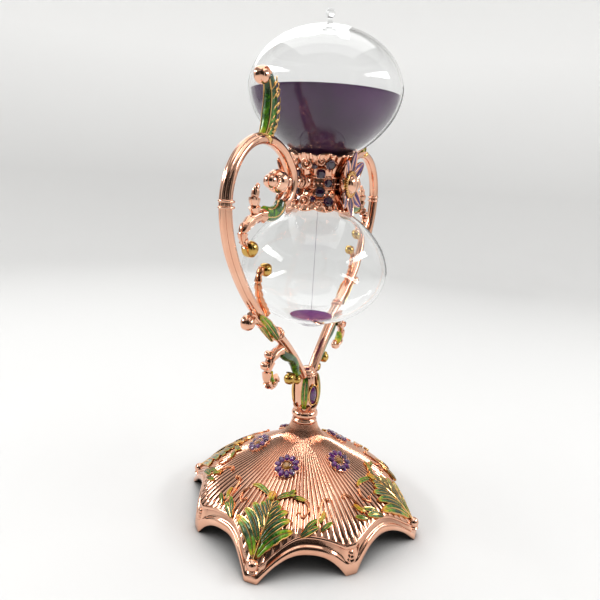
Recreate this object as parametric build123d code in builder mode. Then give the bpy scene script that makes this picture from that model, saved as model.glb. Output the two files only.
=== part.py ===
from build123d import *

import os
from math import cos, radians, sin

os.makedirs("parts", exist_ok=True)

# Ornamental hourglass: a twin-bulb glass turns in a collar, about a horizontal pivot held by
# two scrolled arms on a scalloped umbrella foot. Millimetres, +Z up, pivot axis along X.
# The origin is the centre of the foot on the surface that it stands on.

# Driving dimensions
PIVOT_HEIGHT = 195.4
BULB_RADIUS = 40.0
BULB_CENTRE = 46.0           # from the pivot to the middle of a bulb
BULB_FAR_HEIGHT = 31.4       # from the middle of a bulb to its far pole
GLASS_WALL = 1.3
NECK_RADIUS = 4.6
ORIFICE_RADIUS = 1.2
NIPPLE_TOP = 85.8            # from the pivot to the top of the sealed nipple
FOOT_MAJOR_RADIUS = 72.0
FOOT_MINOR_RADIUS = 64.6
FOOT_MID_RADIUS = 60.0       # plan radius of the rim midway between two tips
FOOT_TURN = 7.6              # degrees from the pivot axis to the first major tip
FOOT_WALL = 2.2
ARCH_HEIGHT = 11.5
ARCH_HALF_WIDTH = 22.5
ARM_RADIUS = 3.1
ORNAMENT_DEPTH = 5.0         # thickness of the cast ornaments across the arm's plane
STUD_RADIUS = 2.95
PIN_RADIUS = 2.0
BOSS_CLEARANCE = 0.06
SKIN_LIFT = 1.4

# Upper surface of the foot, from the neck out to the tips: (radius, height)
FOOT_PROFILE = [(7.3, 57.5), (8.6, 53.4), (11, 49.9), (15, 46.2), (22, 41.6), (32, 35.8),
                (44, 29.3), (56, 21.2), (66, 11.6), (72, 6.4)]
CAVITY_PROFILE = [(13, 42), (22, 38.4), (32, 32.8), (44, 26.2), (56, 17.6), (64, 9.6), (71, 2.5)]
SEAT_HEIGHT = 42.0           # underside of the neck, where the washer bears
NECK_TOP = 57.5
RING_TOP = 65.3

# Centreline of an arm in its own plane: (distance from the middle, height)
ARM_POINTS = [(6.0, 87.7), (46.2, 125.4), (79.8, 161.6), (86.6, 183.2), (63.2, 212.5),
              (34.6, 201.4), (41.7, 185.2)]
ARM_START_DIRECTION = (0.618, 0.786)
BAND_PLACES = (0.203, 0.213, 0.584, 0.594)   # shares of the arm's length, for its double rings
KNOB_CENTRE = 45.5
KNOB_RADIUS = 5.6
BUTTON_CENTRE = 52.3
BUTTON_RADIUS = 3.4
BEAD_CENTRE = 27.2
BEAD_RADIUS = 2.6
BOSS_END = 24.3
PIN_START = 19.3

FLOWER_COUNT = 5
FLOWER_DISTANCE = 25.5
FLOWER_RADIUS = 6.9
PETAL_COUNT = 10
COLLAR_RADIUS = 13.0
COLLAR_RIM = 14.6            # height of the collar's rims above and below the pivot

GLASS_PLANE = Plane(origin=(0, 0, PIVOT_HEIGHT), x_dir=(1, 0, 0), z_dir=(0, -1, 0))


def save(builder, name):
    builder.part.label = name
    export_step(builder.part, f"parts/{name}.step")


def polar(radius, angle, height=0.0):
    return (radius * cos(radians(angle)), radius * sin(radians(angle)), height)


def outward_plane(angle, radius, height):
    """A plane that faces away from the vertical axis, its local Y upward."""
    return Plane(origin=polar(radius, angle, height), x_dir=polar(1, angle + 90),
                 z_dir=polar(1, angle))


# ---------------------------------------------------------------- foot

with BuildPart() as foot_cavity:
    with BuildSketch(Plane.XZ):
        with BuildLine():
            Spline(*CAVITY_PROFILE)
            Polyline(CAVITY_PROFILE[-1], (CAVITY_PROFILE[-1][0], -1), (0, -1),
                     (0, SEAT_HEIGHT), CAVITY_PROFILE[0])
        make_face()
    revolve(axis=Axis.Z)
    with BuildSketch(Plane.XY.offset(-1)):
        inset = FOOT_WALL + 0.4
        corners = []
        for step in range(8):
            tip = FOOT_MAJOR_RADIUS if step % 2 == 0 else FOOT_MINOR_RADIUS
            corners.append(polar(tip - 2.2 * inset, FOOT_TURN + 45 * step))
            corners.append(polar(FOOT_MID_RADIUS - inset, FOOT_TURN + 45 * step + 22.5))
        with BuildLine():
            Polyline(*corners, close=True)
        make_face()
    extrude(amount=SEAT_HEIGHT + 2, mode=Mode.INTERSECT)

with BuildPart() as base_dome:
    with BuildSketch(Plane.XZ):
        with BuildLine():
            Spline(*FOOT_PROFILE)
            Polyline(FOOT_PROFILE[-1], (FOOT_MAJOR_RADIUS, 0), (0, 0), (0, NECK_TOP), FOOT_PROFILE[0])
        make_face()
    revolve(axis=Axis.Z)
    with BuildSketch(Plane.XY):
        with BuildLine():
            for step in range(8):
                start_angle = FOOT_TURN + 45 * step
                near, far = FOOT_MAJOR_RADIUS, FOOT_MINOR_RADIUS
                if step % 2:
                    near, far = far, near
                blunt = 2.8          # half the angle that a blunt tip spans, in degrees
                tip_end = polar(near, start_angle + blunt)
                next_tip = polar(far, start_angle + 45 - blunt)
                ThreePointArc(tip_end, polar(FOOT_MID_RADIUS, start_angle + 22.5), next_tip)
                Line(next_tip, polar(far, start_angle + 45 + blunt))
        make_face()
    extrude(amount=NECK_TOP + 1, mode=Mode.INTERSECT)
    add(foot_cavity.part, mode=Mode.SUBTRACT)
    for step in range(8):
        mid_angle = FOOT_TURN + 45 * step + 22.5
        with BuildSketch(outward_plane(mid_angle, 40, 0)):
            with BuildLine():
                ThreePointArc((-ARCH_HALF_WIDTH, 0), (0, ARCH_HEIGHT), (ARCH_HALF_WIDTH, 0))
                Polyline((ARCH_HALF_WIDTH, 0), (ARCH_HALF_WIDTH, -1), (-ARCH_HALF_WIDTH, -1),
                         (-ARCH_HALF_WIDTH, 0))
            make_face()
        extrude(amount=40, mode=Mode.SUBTRACT)
    with Locations((0, 0, SEAT_HEIGHT)):
        Cylinder(3.2, 2 * (NECK_TOP - SEAT_HEIGHT), mode=Mode.SUBTRACT)
save(base_dome, "base_dome")


def foot_skin(low, high):
    """A thin layer that follows the foot's upper surface, between two lifts above it."""
    with BuildPart() as skin:
        with BuildSketch(Plane.XZ):
            with BuildLine():
                lower = [(r, z + low) for r, z in FOOT_PROFILE]
                upper = [(r, z + high) for r, z in FOOT_PROFILE]
                Spline(*lower)
                Line(lower[-1], upper[-1])
                Spline(*upper)
                Line(upper[0], lower[0])
            make_face()
        revolve(axis=Axis.Z)
    return skin.part


enamel_skin = foot_skin(0, SKIN_LIFT)
stone_skin = foot_skin(SKIN_LIFT, 2 * SKIN_LIFT)

with BuildPart() as tip_beads:
    for step in range(4):
        with Locations(polar(69.6, FOOT_TURN + 90 * step, 7.4)):
            Sphere(3.0)
    add(base_dome.part, mode=Mode.SUBTRACT)
save(tip_beads, "tip_beads")

# Outline of one leaf spray: (distance outward from the axis, sideways)
SPRAY_OUTLINE = [(67, 0), (64, 3.5), (60.5, 18), (55, 8), (51, 11), (47, 5), (42, 1.5), (42, -1.5),
                 (47, -5), (51, -12), (55, -8), (60.5, -18), (64, -3.5)]
SPRIG_OUTLINE = [(56.5, 18.5), (55, 25), (50, 29), (43, 25), (47, 23), (51, 18)]

with BuildPart() as leaf_sprays:
    for step in range(4):
        with BuildSketch(Plane.XY.rotated((0, 0, FOOT_TURN + 90 * step))):
            with BuildLine():
                Polyline(*SPRAY_OUTLINE, close=True)
            make_face()
        extrude(amount=NECK_TOP)
    add(enamel_skin, mode=Mode.INTERSECT)
    add(tip_beads.part, mode=Mode.SUBTRACT)
save(leaf_sprays, "leaf_sprays")

with BuildPart() as side_sprigs:
    for step in range(4):
        for hand in (-1, 1):
            with BuildSketch(Plane.XY.rotated((0, 0, FOOT_TURN + 90 * step))):
                with BuildLine():
                    Polyline(*[(x, hand * y) for x, y in SPRIG_OUTLINE], close=True)
                make_face()
            extrude(amount=NECK_TOP)
    add(enamel_skin, mode=Mode.INTERSECT)
save(side_sprigs, "side_sprigs")

with BuildPart() as flower_settings:
    for step in range(FLOWER_COUNT):
        with BuildSketch(Plane.XY.rotated((0, 0, FOOT_TURN + 180 + 360 / FLOWER_COUNT * step))):
            with Locations((FLOWER_DISTANCE, 0)):
                Circle(FLOWER_RADIUS)
        extrude(amount=NECK_TOP)
    add(enamel_skin, mode=Mode.INTERSECT)
save(flower_settings, "flower_settings")

with BuildPart() as petal_stones:
    for step in range(FLOWER_COUNT):
        with BuildSketch(Plane.XY.rotated((0, 0, FOOT_TURN + 180 + 360 / FLOWER_COUNT * step))):
            with Locations((FLOWER_DISTANCE, 0)):
                with PolarLocations(4.9, PETAL_COUNT):
                    Rectangle(2.8, 2.2)
        extrude(amount=NECK_TOP)
    add(stone_skin, mode=Mode.INTERSECT)
save(petal_stones, "petal_stones")

with BuildPart() as centre_stones:
    for step in range(FLOWER_COUNT):
        with BuildSketch(Plane.XY.rotated((0, 0, FOOT_TURN + 180 + 360 / FLOWER_COUNT * step))):
            with Locations((FLOWER_DISTANCE, 0)):
                Circle(2.6)
        extrude(amount=NECK_TOP)
    add(stone_skin, mode=Mode.INTERSECT)
save(centre_stones, "centre_stones")

# ---------------------------------------------------------------- stem and its hidden stud

with BuildPart() as neck_ring:
    with BuildSketch(Plane.XZ):
        with BuildLine():
            Polyline((3.2, RING_TOP), (3.2, NECK_TOP), (6.9, NECK_TOP), (7.1, 58.9), (6.1, 60.2))
            ThreePointArc((6.1, 60.2), (7.7, 62.7), (6.1, RING_TOP))
            Line((6.1, RING_TOP), (3.2, RING_TOP))
        make_face()
    revolve(axis=Axis.Z)
save(neck_ring, "neck_ring")

with BuildPart() as stem:
    with BuildSketch(Plane.XZ):
        with BuildLine():
            Spline((5.6, RING_TOP), (6.3, 69), (7.0, 76), (6.6, 83), (5.0, 88.5))
            Polyline((5.0, 88.5), (2.0, 91), (0, 91), (0, 76), (3, 76), (3, RING_TOP), (5.6, RING_TOP))
        make_face()
    revolve(axis=Axis.Z)
save(stem, "stem")

with BuildPart() as base_stud:
    with Locations((0, 0, 54)):
        Cylinder(STUD_RADIUS, 42)
save(base_stud, "base_stud")

with BuildPart() as base_washer:
    with Locations((0, 0, SEAT_HEIGHT - 0.6)):
        Cylinder(8.0, 1.2)
        Cylinder(3.2, 1.2, mode=Mode.SUBTRACT)
save(base_washer, "base_washer")

with BuildPart() as base_nut:
    with BuildSketch(Plane.XY.offset(SEAT_HEIGHT - 6.2)):
        RegularPolygon(5.8, 6)
        Circle(STUD_RADIUS, mode=Mode.SUBTRACT)
    extrude(amount=5)
save(base_nut, "base_nut")

GEM_ANGLES = (-120, 60)      # the two sides of the stem that carry a stone
LEAF_OFFSET = 40

with BuildPart() as gem_bezels:
    for angle in GEM_ANGLES:
        with BuildSketch(outward_plane(angle, 5.5, 76)):
            Ellipse(3.2, 6.4)
            Ellipse(2.6, 5.7, mode=Mode.SUBTRACT)
        extrude(amount=2.6)
    add(stem.part, mode=Mode.SUBTRACT)
save(gem_bezels, "gem_bezels")

with BuildPart() as stem_gems:
    for angle in GEM_ANGLES:
        with BuildSketch(outward_plane(angle, 5.5, 76)):
            Ellipse(2.6, 5.7)
        extrude(amount=3.2)
    add(stem.part, mode=Mode.SUBTRACT)
save(stem_gems, "stem_gems")

with BuildPart() as stem_leaves:
    for angle in GEM_ANGLES:
        for hand in (-1, 1):
            with BuildSketch(outward_plane(angle + hand * LEAF_OFFSET, 5.0, 76)):
                Ellipse(1.7, 8.5)
            extrude(amount=3.2)
    add(stem.part, mode=Mode.SUBTRACT)
    add(gem_bezels.part, mode=Mode.SUBTRACT)
    add(stem_gems.part, mode=Mode.SUBTRACT)
save(stem_leaves, "stem_leaves")

# ---------------------------------------------------------------- arms and their ornaments

# Outlines in the arm's plane: (distance from the middle, height)
FINIAL_LEAF = [(67, 213), (62, 217.5), (59.8, 224), (60.2, 231), (62, 236), (58, 240),
               (53, 238.5), (50.4, 233), (50.2, 225), (51.5, 218), (53.5, 213)]
SCROLL_LEAVES = [(55.5, 184.3), (59.6, 187), (61.4, 190.5), (62.3, 194), (66.5, 193.4),
                 (68, 190), (69.6, 187.6), (67.6, 184.5), (66.4, 182), (70.6, 180.2), (74.8, 177.6),
                 (77.2, 175), (77.2, 171.6), (75.2, 168.8), (73, 166.6), (70, 169.2), (67.2, 173.4),
                 (64.2, 176.2), (60, 177.8), (55.5, 178.2)]
ARM_LEAF = [(62, 134), (63, 130.8), (58.6, 127.2), (54, 123), (49, 119.2), (43.6, 116.2),
            (40, 118.5), (48, 124)]
ROOT_LEAF = [(34.5, 113), (40, 112.6), (45, 112), (49, 109.5), (48, 107), (51, 104.5), (49, 101.5),
             (48.6, 97), (45, 92.8), (39, 91), (35, 93.5), (38, 96.4), (41.5, 95.8), (43.6, 98.5),
             (42.6, 103), (39.5, 106.5), (34, 109)]
ROOT_ARCH = [(34, 110.5), (32.8, 103.9), (28.5, 103.3), (24.8, 99.8), (23.2, 95.3), (17.5, 92.6),
             (11, 91.6), (14, 97), (22, 105)]

for side, sign in (("left", -1), ("right", 1)):
    mirrored = [(sign * x, z) for x, z in ARM_POINTS]

    with BuildPart() as arm:
        with BuildLine(Plane.XZ) as centreline:
            arc = TangentArc(mirrored[0], mirrored[1],
                             tangent=(sign * ARM_START_DIRECTION[0], ARM_START_DIRECTION[1]))
            for start, end in zip(mirrored[1:-1], mirrored[2:]):
                arc = TangentArc(start, end, tangent=arc % 1)
        with BuildSketch(Plane(origin=centreline.line @ 0, z_dir=centreline.line % 0)):
            Circle(ARM_RADIUS)
        sweep()
        for along in BAND_PLACES:
            band = Plane(origin=centreline.line @ along, z_dir=centreline.line % along)
            with BuildSketch(band.offset(-0.6)):
                Circle(ARM_RADIUS + 0.7)
            extrude(amount=1.2)
        with Locations(Location((sign * 33, 0, PIVOT_HEIGHT), (0, 90, 0))):
            Cylinder(PIN_RADIUS, 12, mode=Mode.SUBTRACT)
        add(stem.part, mode=Mode.SUBTRACT)
    save(arm, f"{side}_arm")
    limb_end = centreline.line @ 1
    limb_direction = centreline.line % 1

    with BuildPart() as finial_ball:
        with Locations((sign * 63.2, 0, 238.5)):
            Sphere(4.0)
    save(finial_ball, f"{side}_finial_ball")

    with BuildPart() as finial_leaf:
        with BuildSketch(Plane.XZ):
            with BuildLine():
                Polyline(*[(sign * x, z) for x, z in FINIAL_LEAF], close=True)
            make_face()
        extrude(amount=ORNAMENT_DEPTH / 2, both=True)
        add(arm.part, mode=Mode.SUBTRACT)
        add(finial_ball.part, mode=Mode.SUBTRACT)
    save(finial_leaf, f"{side}_finial_leaf")

    with BuildPart() as scroll_calyx:
        with BuildLine(Plane.XZ):
            TangentArc((limb_end.X, limb_end.Z), (sign * 55.5, 181.2),
                       tangent=(limb_direction.X, limb_direction.Z))
        with BuildSketch(Plane(origin=limb_end, z_dir=limb_direction)):
            Circle(ARM_RADIUS)
        sweep()
    save(scroll_calyx, f"{side}_scroll_calyx")

    with BuildPart() as scroll_ball:
        with Locations((sign * 67.2, 0, 165.8)):
            Sphere(4.2)
    save(scroll_ball, f"{side}_scroll_ball")

    with BuildPart() as scroll_leaves:
        with BuildSketch(Plane.XZ):
            with BuildLine():
                Polyline(*[(sign * x, z) for x, z in SCROLL_LEAVES], close=True)
            make_face()
        extrude(amount=ORNAMENT_DEPTH / 2, both=True)
        for neighbour in (scroll_ball, scroll_calyx, arm):
            add(neighbour.part, mode=Mode.SUBTRACT)
    save(scroll_leaves, f"{side}_scroll_leaves")

    with BuildPart() as tendril_ball:
        with Locations((sign * 53.0, 0, 154.3)):
            Sphere(3.3)
    save(tendril_ball, f"{side}_tendril_ball")

    with BuildPart() as tendril:
        with BuildLine(Plane.XZ):
            ThreePointArc((sign * 52.4, 133.6), (sign * 57.6, 142.5), (sign * 59.4, 150.5))
            TangentArc((sign * 59.4, 150.5), (sign * 54.6, 157.6), tangent=(sign * 0.02, 1))
        with BuildSketch(Plane(origin=(sign * 52.4, 0, 133.6), z_dir=(sign * 0.64, 0, 0.77))):
            Circle(1.7)
        sweep(transition=Transition.ROUND)
        add(tendril_ball.part, mode=Mode.SUBTRACT)
        add(arm.part, mode=Mode.SUBTRACT)
    save(tendril, f"{side}_tendril")

    with BuildPart() as arm_leaf_ball:
        with Locations((sign * 67.0, 0, 131.4)):
            Sphere(3.9)
    save(arm_leaf_ball, f"{side}_arm_leaf_ball")

    with BuildPart() as arm_leaf:
        with BuildSketch(Plane.XZ):
            with BuildLine():
                Polyline(*[(sign * x, z) for x, z in ARM_LEAF], close=True)
            make_face()
        extrude(amount=ORNAMENT_DEPTH / 2, both=True)
        add(arm.part, mode=Mode.SUBTRACT)
        add(arm_leaf_ball.part, mode=Mode.SUBTRACT)
    save(arm_leaf, f"{side}_arm_leaf")

    with BuildPart() as root_curl:
        with Locations((sign * 22.5, 0, 90.5)):
            Sphere(3.4)
        with Locations((sign * 13.0, 0, 86.8)):
            Sphere(2.6)
        with Locations((sign * 17.6, 0, 88.4)):
            Box(7, 2.4, 2.4)
        add(stem.part, mode=Mode.SUBTRACT)
        add(arm.part, mode=Mode.SUBTRACT)
    save(root_curl, f"{side}_root_curl")

    with BuildPart() as root_arch:
        with BuildSketch(Plane.XZ):
            with BuildLine():
                Polyline(*[(sign * x, z) for x, z in ROOT_ARCH], close=True)
            make_face()
        extrude(amount=ORNAMENT_DEPTH / 2, both=True)
        for neighbour in (arm, stem, root_curl):
            add(neighbour.part, mode=Mode.SUBTRACT)
    save(root_arch, f"{side}_root_arch")

    with BuildPart() as root_leaf:
        with BuildSketch(Plane.XZ):
            with BuildLine():
                Polyline(*[(sign * x, z) for x, z in ROOT_LEAF], close=True)
            make_face()
        extrude(amount=ORNAMENT_DEPTH / 2, both=True)
        add(arm.part, mode=Mode.SUBTRACT)
        add(root_arch.part, mode=Mode.SUBTRACT)
    save(root_leaf, f"{side}_root_leaf")

    with BuildPart() as pivot_pin:
        with Locations(Location((sign * (PIN_START + KNOB_CENTRE) / 2, 0, PIVOT_HEIGHT), (0, 90, 0))):
            Cylinder(PIN_RADIUS, KNOB_CENTRE - PIN_START)
    save(pivot_pin, f"{side}_pivot_pin")

    with BuildPart() as pivot_bead:
        with Locations((sign * BEAD_CENTRE, 0, PIVOT_HEIGHT)):
            Sphere(BEAD_RADIUS)
        add(pivot_pin.part, mode=Mode.SUBTRACT)
        add(arm.part, mode=Mode.SUBTRACT)
    save(pivot_bead, f"{side}_pivot_bead")

    with BuildPart() as pivot_knob:
        with Locations((sign * KNOB_CENTRE, 0, PIVOT_HEIGHT)):
            Sphere(KNOB_RADIUS)
        with Locations((sign * BUTTON_CENTRE, 0, PIVOT_HEIGHT)):
            Sphere(BUTTON_RADIUS)
        with Locations(Location((sign * 38.5, 0, PIVOT_HEIGHT), (0, 90, 0))):
            Cylinder(3.2, 5)
        add(pivot_pin.part, mode=Mode.SUBTRACT)
        add(arm.part, mode=Mode.SUBTRACT)
    save(pivot_knob, f"{side}_pivot_knob")

# ---------------------------------------------------------------- glass and sand, which turn together

INNER_RADIUS = BULB_RADIUS - GLASS_WALL
INNER_FAR = BULB_FAR_HEIGHT - GLASS_WALL
# Shoulder of a bulb from the neck to the widest part: (radius, distance from the pivot)
SHOULDER = [(NECK_RADIUS, 7.4), (6.4, 9.8), (12, 12.8), (20, 17.0), (28, 23.4), (34, 30.4), (38, 37.6),
            (BULB_RADIUS, BULB_CENTRE)]
INNER_SHOULDER = [(ORIFICE_RADIUS, 3.0), (3.6, 8.6), (11.4, 14.1), (19.3, 18.2), (27.1, 24.5),
                  (32.9, 31.2), (36.7, 38.2), (INNER_RADIUS, BULB_CENTRE)]
PIP_RADIUS = 6.5
BEAD_OF_GLASS = 2.3          # radius of the bead that seals the nipple
PIP_DEPTH = 79.6             # from the pivot to the thick pip under the lower bulb


def glass_outline(points, far_height, pole, sense):
    """Half outline of one bulb, from the neck out and round to near its pole. Returns its far end."""
    outline = [(x, sense * y) for x, y in points]
    widest = points[-1][0]
    for turn in (20, 40, 60, 75, pole):
        outline.append((widest * cos(radians(turn)),
                        sense * (BULB_CENTRE + far_height * sin(radians(turn)))))
    Spline(*outline)
    return outline[-1]


with BuildPart() as glass_bulbs:
    with BuildSketch(GLASS_PLANE):
        with BuildLine():
            upper_end = glass_outline(SHOULDER, BULB_FAR_HEIGHT, 87, 1)
            Polyline(upper_end, (1.5, 80), (1.1, 82), (0, 82), (0, -PIP_DEPTH))
            lower_end = glass_outline(SHOULDER, BULB_FAR_HEIGHT, 80, -1)
            Polyline((0, -PIP_DEPTH), (PIP_RADIUS * 0.7, -PIP_DEPTH + 0.5), lower_end)
            Line((NECK_RADIUS, 7.4), (NECK_RADIUS, -7.4))
        make_face()
    revolve(axis=Axis.Z)
    with BuildSketch(GLASS_PLANE):
        with BuildLine():
            inner_top = glass_outline(INNER_SHOULDER, INNER_FAR, 86, 1)
            Line((ORIFICE_RADIUS, 3), (ORIFICE_RADIUS, -3))
            inner_bottom = glass_outline(INNER_SHOULDER, INNER_FAR, 86, -1)
            Polyline(inner_top, (0, inner_top[1]), (0, inner_bottom[1]), inner_bottom)
        make_face()
    revolve(axis=Axis.Z, mode=Mode.SUBTRACT)
    with Locations((0, 0, PIVOT_HEIGHT + NIPPLE_TOP - BEAD_OF_GLASS)):
        Sphere(BEAD_OF_GLASS)
save(glass_bulbs, "glass_bulbs")

SAND_GAP = 0.08
SAND_LEVEL = 44.7            # from the pivot up to the sand's surface

with BuildPart() as upper_sand:
    with BuildSketch(GLASS_PLANE):
        with BuildLine():
            sand_side = [(x - SAND_GAP, y + SAND_GAP) for x, y in INNER_SHOULDER[1:-1]]
            sand_side.append((INNER_RADIUS - 0.18, SAND_LEVEL))
            Spline(*sand_side)
            Polyline(sand_side[-1], (6, SAND_LEVEL - 0.3), (0, SAND_LEVEL - 2.5), (0, sand_side[0][1]),
                     sand_side[0])
        make_face()
    revolve(axis=Axis.Z)
save(upper_sand, "upper_sand")

PILE_RADIUS = 12.0
PILE_PEAK = 72.4             # from the pivot down to the peak of the fallen sand

with BuildPart() as lower_sand:
    with BuildSketch(GLASS_PLANE):
        with BuildLine():
            bed = []
            for share in (0, 0.35, 0.7, 1):
                reach = PILE_RADIUS * share / INNER_RADIUS
                depth = BULB_CENTRE + INNER_FAR * (1 - reach * reach) ** 0.5 - SAND_GAP
                bed.append((PILE_RADIUS * share, -depth))
            Spline(*bed)
            Polyline(bed[-1], (PILE_RADIUS, bed[-1][1] + 0.25), (0, -PILE_PEAK), bed[0])
        make_face()
    revolve(axis=Axis.Z)
save(lower_sand, "lower_sand")

with BuildPart() as sand_stream:
    with Locations((0, 0, PIVOT_HEIGHT - 32.2)):
        Cylinder(0.35, 80)
save(sand_stream, "sand_stream")

# ---------------------------------------------------------------- collar, which turns with the glass

with BuildPart() as neck_sleeve:
    with Locations((0, 0, PIVOT_HEIGHT)):
        Cylinder(5.9, 13)
        Cylinder(NECK_RADIUS, 13, mode=Mode.SUBTRACT)
save(neck_sleeve, "neck_sleeve")

CUP_INNER = [(6.0, 0.3), (6.0, 8.2), (11.5, 11.9), (18.2, COLLAR_RIM)]
CUP_OUTER = [(19.0, COLLAR_RIM - 0.6), (17.4, 11.2), (14.4, 7.6), (COLLAR_RADIUS, 4.4),
             (COLLAR_RADIUS, 0.3)]

for collar_name, sense in (("upper_collar", 1), ("lower_collar", -1)):
    with BuildPart() as collar:
        with BuildSketch(GLASS_PLANE):
            with BuildLine():
                Polyline(*[(x, sense * y) for x, y in CUP_INNER + CUP_OUTER], close=True)
            make_face()
        revolve(axis=Axis.Z)
    save(collar, collar_name)
    if sense == 1:
        upper_collar = collar
    else:
        lower_collar = collar

with BuildPart() as waist_band:
    with Locations((0, 0, PIVOT_HEIGHT)):
        Cylinder(COLLAR_RADIUS + 1.5, 7)
        for sign in (-1, 1):
            with Locations((sign * 16.2, 0, 0)):
                Sphere(3.4)
            with Locations(Location((sign * (14 + BOSS_END) / 2, 0, 0), (0, 90, 0))):
                Cylinder(2.9, BOSS_END - 14)
        Cylinder(COLLAR_RADIUS, 7, mode=Mode.SUBTRACT)
        for sign in (-1, 1):
            with Locations(Location((sign * (19 + BOSS_END) / 2, 0, 0), (0, 90, 0))):
                Cylinder(PIN_RADIUS + BOSS_CLEARANCE, BOSS_END - 19, mode=Mode.SUBTRACT)
save(waist_band, "waist_band")

with BuildPart() as collar_stones:
    for angle in (-135, -45, 45, 135):
        for height in (-6.3, 0, 6.3):
            with BuildSketch(outward_plane(angle, COLLAR_RADIUS - 0.5, PIVOT_HEIGHT + height)):
                Rectangle(4.8, 4.8)
            extrude(amount=4.2)
    for neighbour in (upper_collar, lower_collar, waist_band):
        add(neighbour.part, mode=Mode.SUBTRACT)
save(collar_stones, "collar_stones")

FLOWER_PLATE = 16.4          # from the middle of the glass to the back of a collar flower's plate
PLATE_THICKNESS = 1.4
PETAL_ANGLES = (90, 45, -45, -90, -135, 135)
PETAL_LEAN = 13              # degrees that each petal leans out from the plate

with BuildPart() as collar_flowers:
    for facing in (-90, 90):
        with BuildSketch(outward_plane(facing, COLLAR_RADIUS + 1.0, PIVOT_HEIGHT)):
            Circle(7.4)
        extrude(amount=FLOWER_PLATE + PLATE_THICKNESS - COLLAR_RADIUS - 1.0)
        for petal_angle in PETAL_ANGLES:
            reach = 16.8 if abs(petal_angle) == 90 else 16.2
            petal_plane = outward_plane(facing, FLOWER_PLATE, PIVOT_HEIGHT)
            petal_plane = petal_plane * Rotation(0, 0, petal_angle) * Rotation(0, -PETAL_LEAN, 0)
            with BuildSketch(petal_plane):
                with BuildLine():
                    Polyline((5.9, -3.3), (9, -4.4), (13, -3.6), (reach, 0), (13, 3.6), (9, 4.4),
                             (5.9, 3.3), close=True)
                make_face()
            extrude(amount=PLATE_THICKNESS)
    for neighbour in (upper_collar, lower_collar, waist_band, collar_stones):
        add(neighbour.part, mode=Mode.SUBTRACT)
save(collar_flowers, "collar_flowers")

with BuildPart() as flower_rings:
    for facing in (-90, 90):
        with BuildSketch(outward_plane(facing, FLOWER_PLATE, PIVOT_HEIGHT)):
            Circle(7.4)
            Circle(5.6, mode=Mode.SUBTRACT)
        extrude(amount=3.0)
    add(collar_flowers.part, mode=Mode.SUBTRACT)
save(flower_rings, "flower_rings")

with BuildPart() as flower_bosses:
    for facing in (-90, 90):
        with Locations(polar(FLOWER_PLATE - 0.4, facing, PIVOT_HEIGHT)):
            Sphere(5.5)
    with Locations((0, 0, PIVOT_HEIGHT)):
        Box(20, 2 * (FLOWER_PLATE + PLATE_THICKNESS), 20, mode=Mode.SUBTRACT)
save(flower_bosses, "flower_bosses")
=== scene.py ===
from math import atan2, cos, pi, radians, sin, sqrt

import bmesh
import bpy
from mathutils import Matrix, Vector, noise


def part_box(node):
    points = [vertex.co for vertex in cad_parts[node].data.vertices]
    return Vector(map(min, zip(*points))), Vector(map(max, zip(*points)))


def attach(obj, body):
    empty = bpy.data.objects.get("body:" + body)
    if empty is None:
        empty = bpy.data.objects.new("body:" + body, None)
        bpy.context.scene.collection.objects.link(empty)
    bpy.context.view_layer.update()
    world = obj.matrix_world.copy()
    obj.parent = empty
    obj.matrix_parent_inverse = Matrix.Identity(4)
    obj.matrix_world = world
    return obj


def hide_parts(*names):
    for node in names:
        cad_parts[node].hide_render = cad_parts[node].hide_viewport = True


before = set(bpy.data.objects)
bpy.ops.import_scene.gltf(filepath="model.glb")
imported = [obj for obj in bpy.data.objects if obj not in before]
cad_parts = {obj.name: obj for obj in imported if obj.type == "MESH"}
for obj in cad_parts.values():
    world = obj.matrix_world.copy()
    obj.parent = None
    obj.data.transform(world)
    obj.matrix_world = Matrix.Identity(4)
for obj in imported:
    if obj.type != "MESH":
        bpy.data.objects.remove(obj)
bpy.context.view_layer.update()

# The looks of an ornamental hourglass. Shapes are written in millimetres and become metres when
# a piece is made. +Z is up, the pivot runs along X, and the origin is under the foot.
MM = 0.001

pin_low, pin_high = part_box("left_pivot_pin")
PIVOT = (pin_low.z + pin_high.z) / 2 / MM
UP = Vector((0, 0, 1))
ACROSS = Vector((0, 1, 0))

SECTOR = 45                  # degrees from one tip of the foot to the next
FOOT_TURN = 7.6              # degrees from the pivot axis to the first major tip
FOOT_PROFILE = [(7.3, 57.5), (8.6, 53.4), (11, 49.9), (15, 46.2), (22, 41.6), (32, 35.8),
                (44, 29.3), (56, 21.2), (66, 11.6), (72, 6.4)]
FOOT_UNDER = [(3.3, 42), (13, 42), (22, 38.4), (32, 32.8), (44, 26.2), (54, 19.4), (59, 15)]
MAJOR_RADIUS = 72.0
MINOR_RADIUS = 64.6
MID_RADIUS = 60.0
TIP_HALF_ANGLE = 2.8
ARCH_HEIGHT = 11.5
REEDS_PER_SECTOR = 13
ARM_RADIUS = 3.1
ARM_POINTS = [(6.0, 87.7), (46.2, 125.4), (79.8, 161.6), (86.6, 183.2), (63.2, 212.5),
              (34.6, 201.4), (41.7, 185.2)]
ARM_BANDS = (0.203, 0.213, 0.584, 0.594)
BULB_CENTRE = 46.0
BULB_FAR = 31.4
GLASS_WALL = 1.3
SAND_LEVEL = 44.7


# ------------------------------------------------------------------ building shapes

class Shape:
    """Points, with a tone from 0 to 1 at each for blending colour, and the faces between them."""

    def __init__(self):
        self.points = []
        self.tones = []
        self.faces = []

    def rows(self, rows, tones=None, around=True, along=False):
        """Joins rows of points with faces. around closes each row, along joins the last to the first."""
        first = len(self.points)
        width = len(rows[0])
        count = len(rows)
        for place, row in enumerate(rows):
            self.points += row
            self.tones += [tones[place] if tones else 0.0] * width
        for r in range(count if along else count - 1):
            below = (r + 1) % count
            for k in range(width if around else width - 1):
                right = (k + 1) % width
                self.faces.append((first + r * width + k, first + r * width + right,
                                   first + below * width + right, first + below * width + k))


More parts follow.
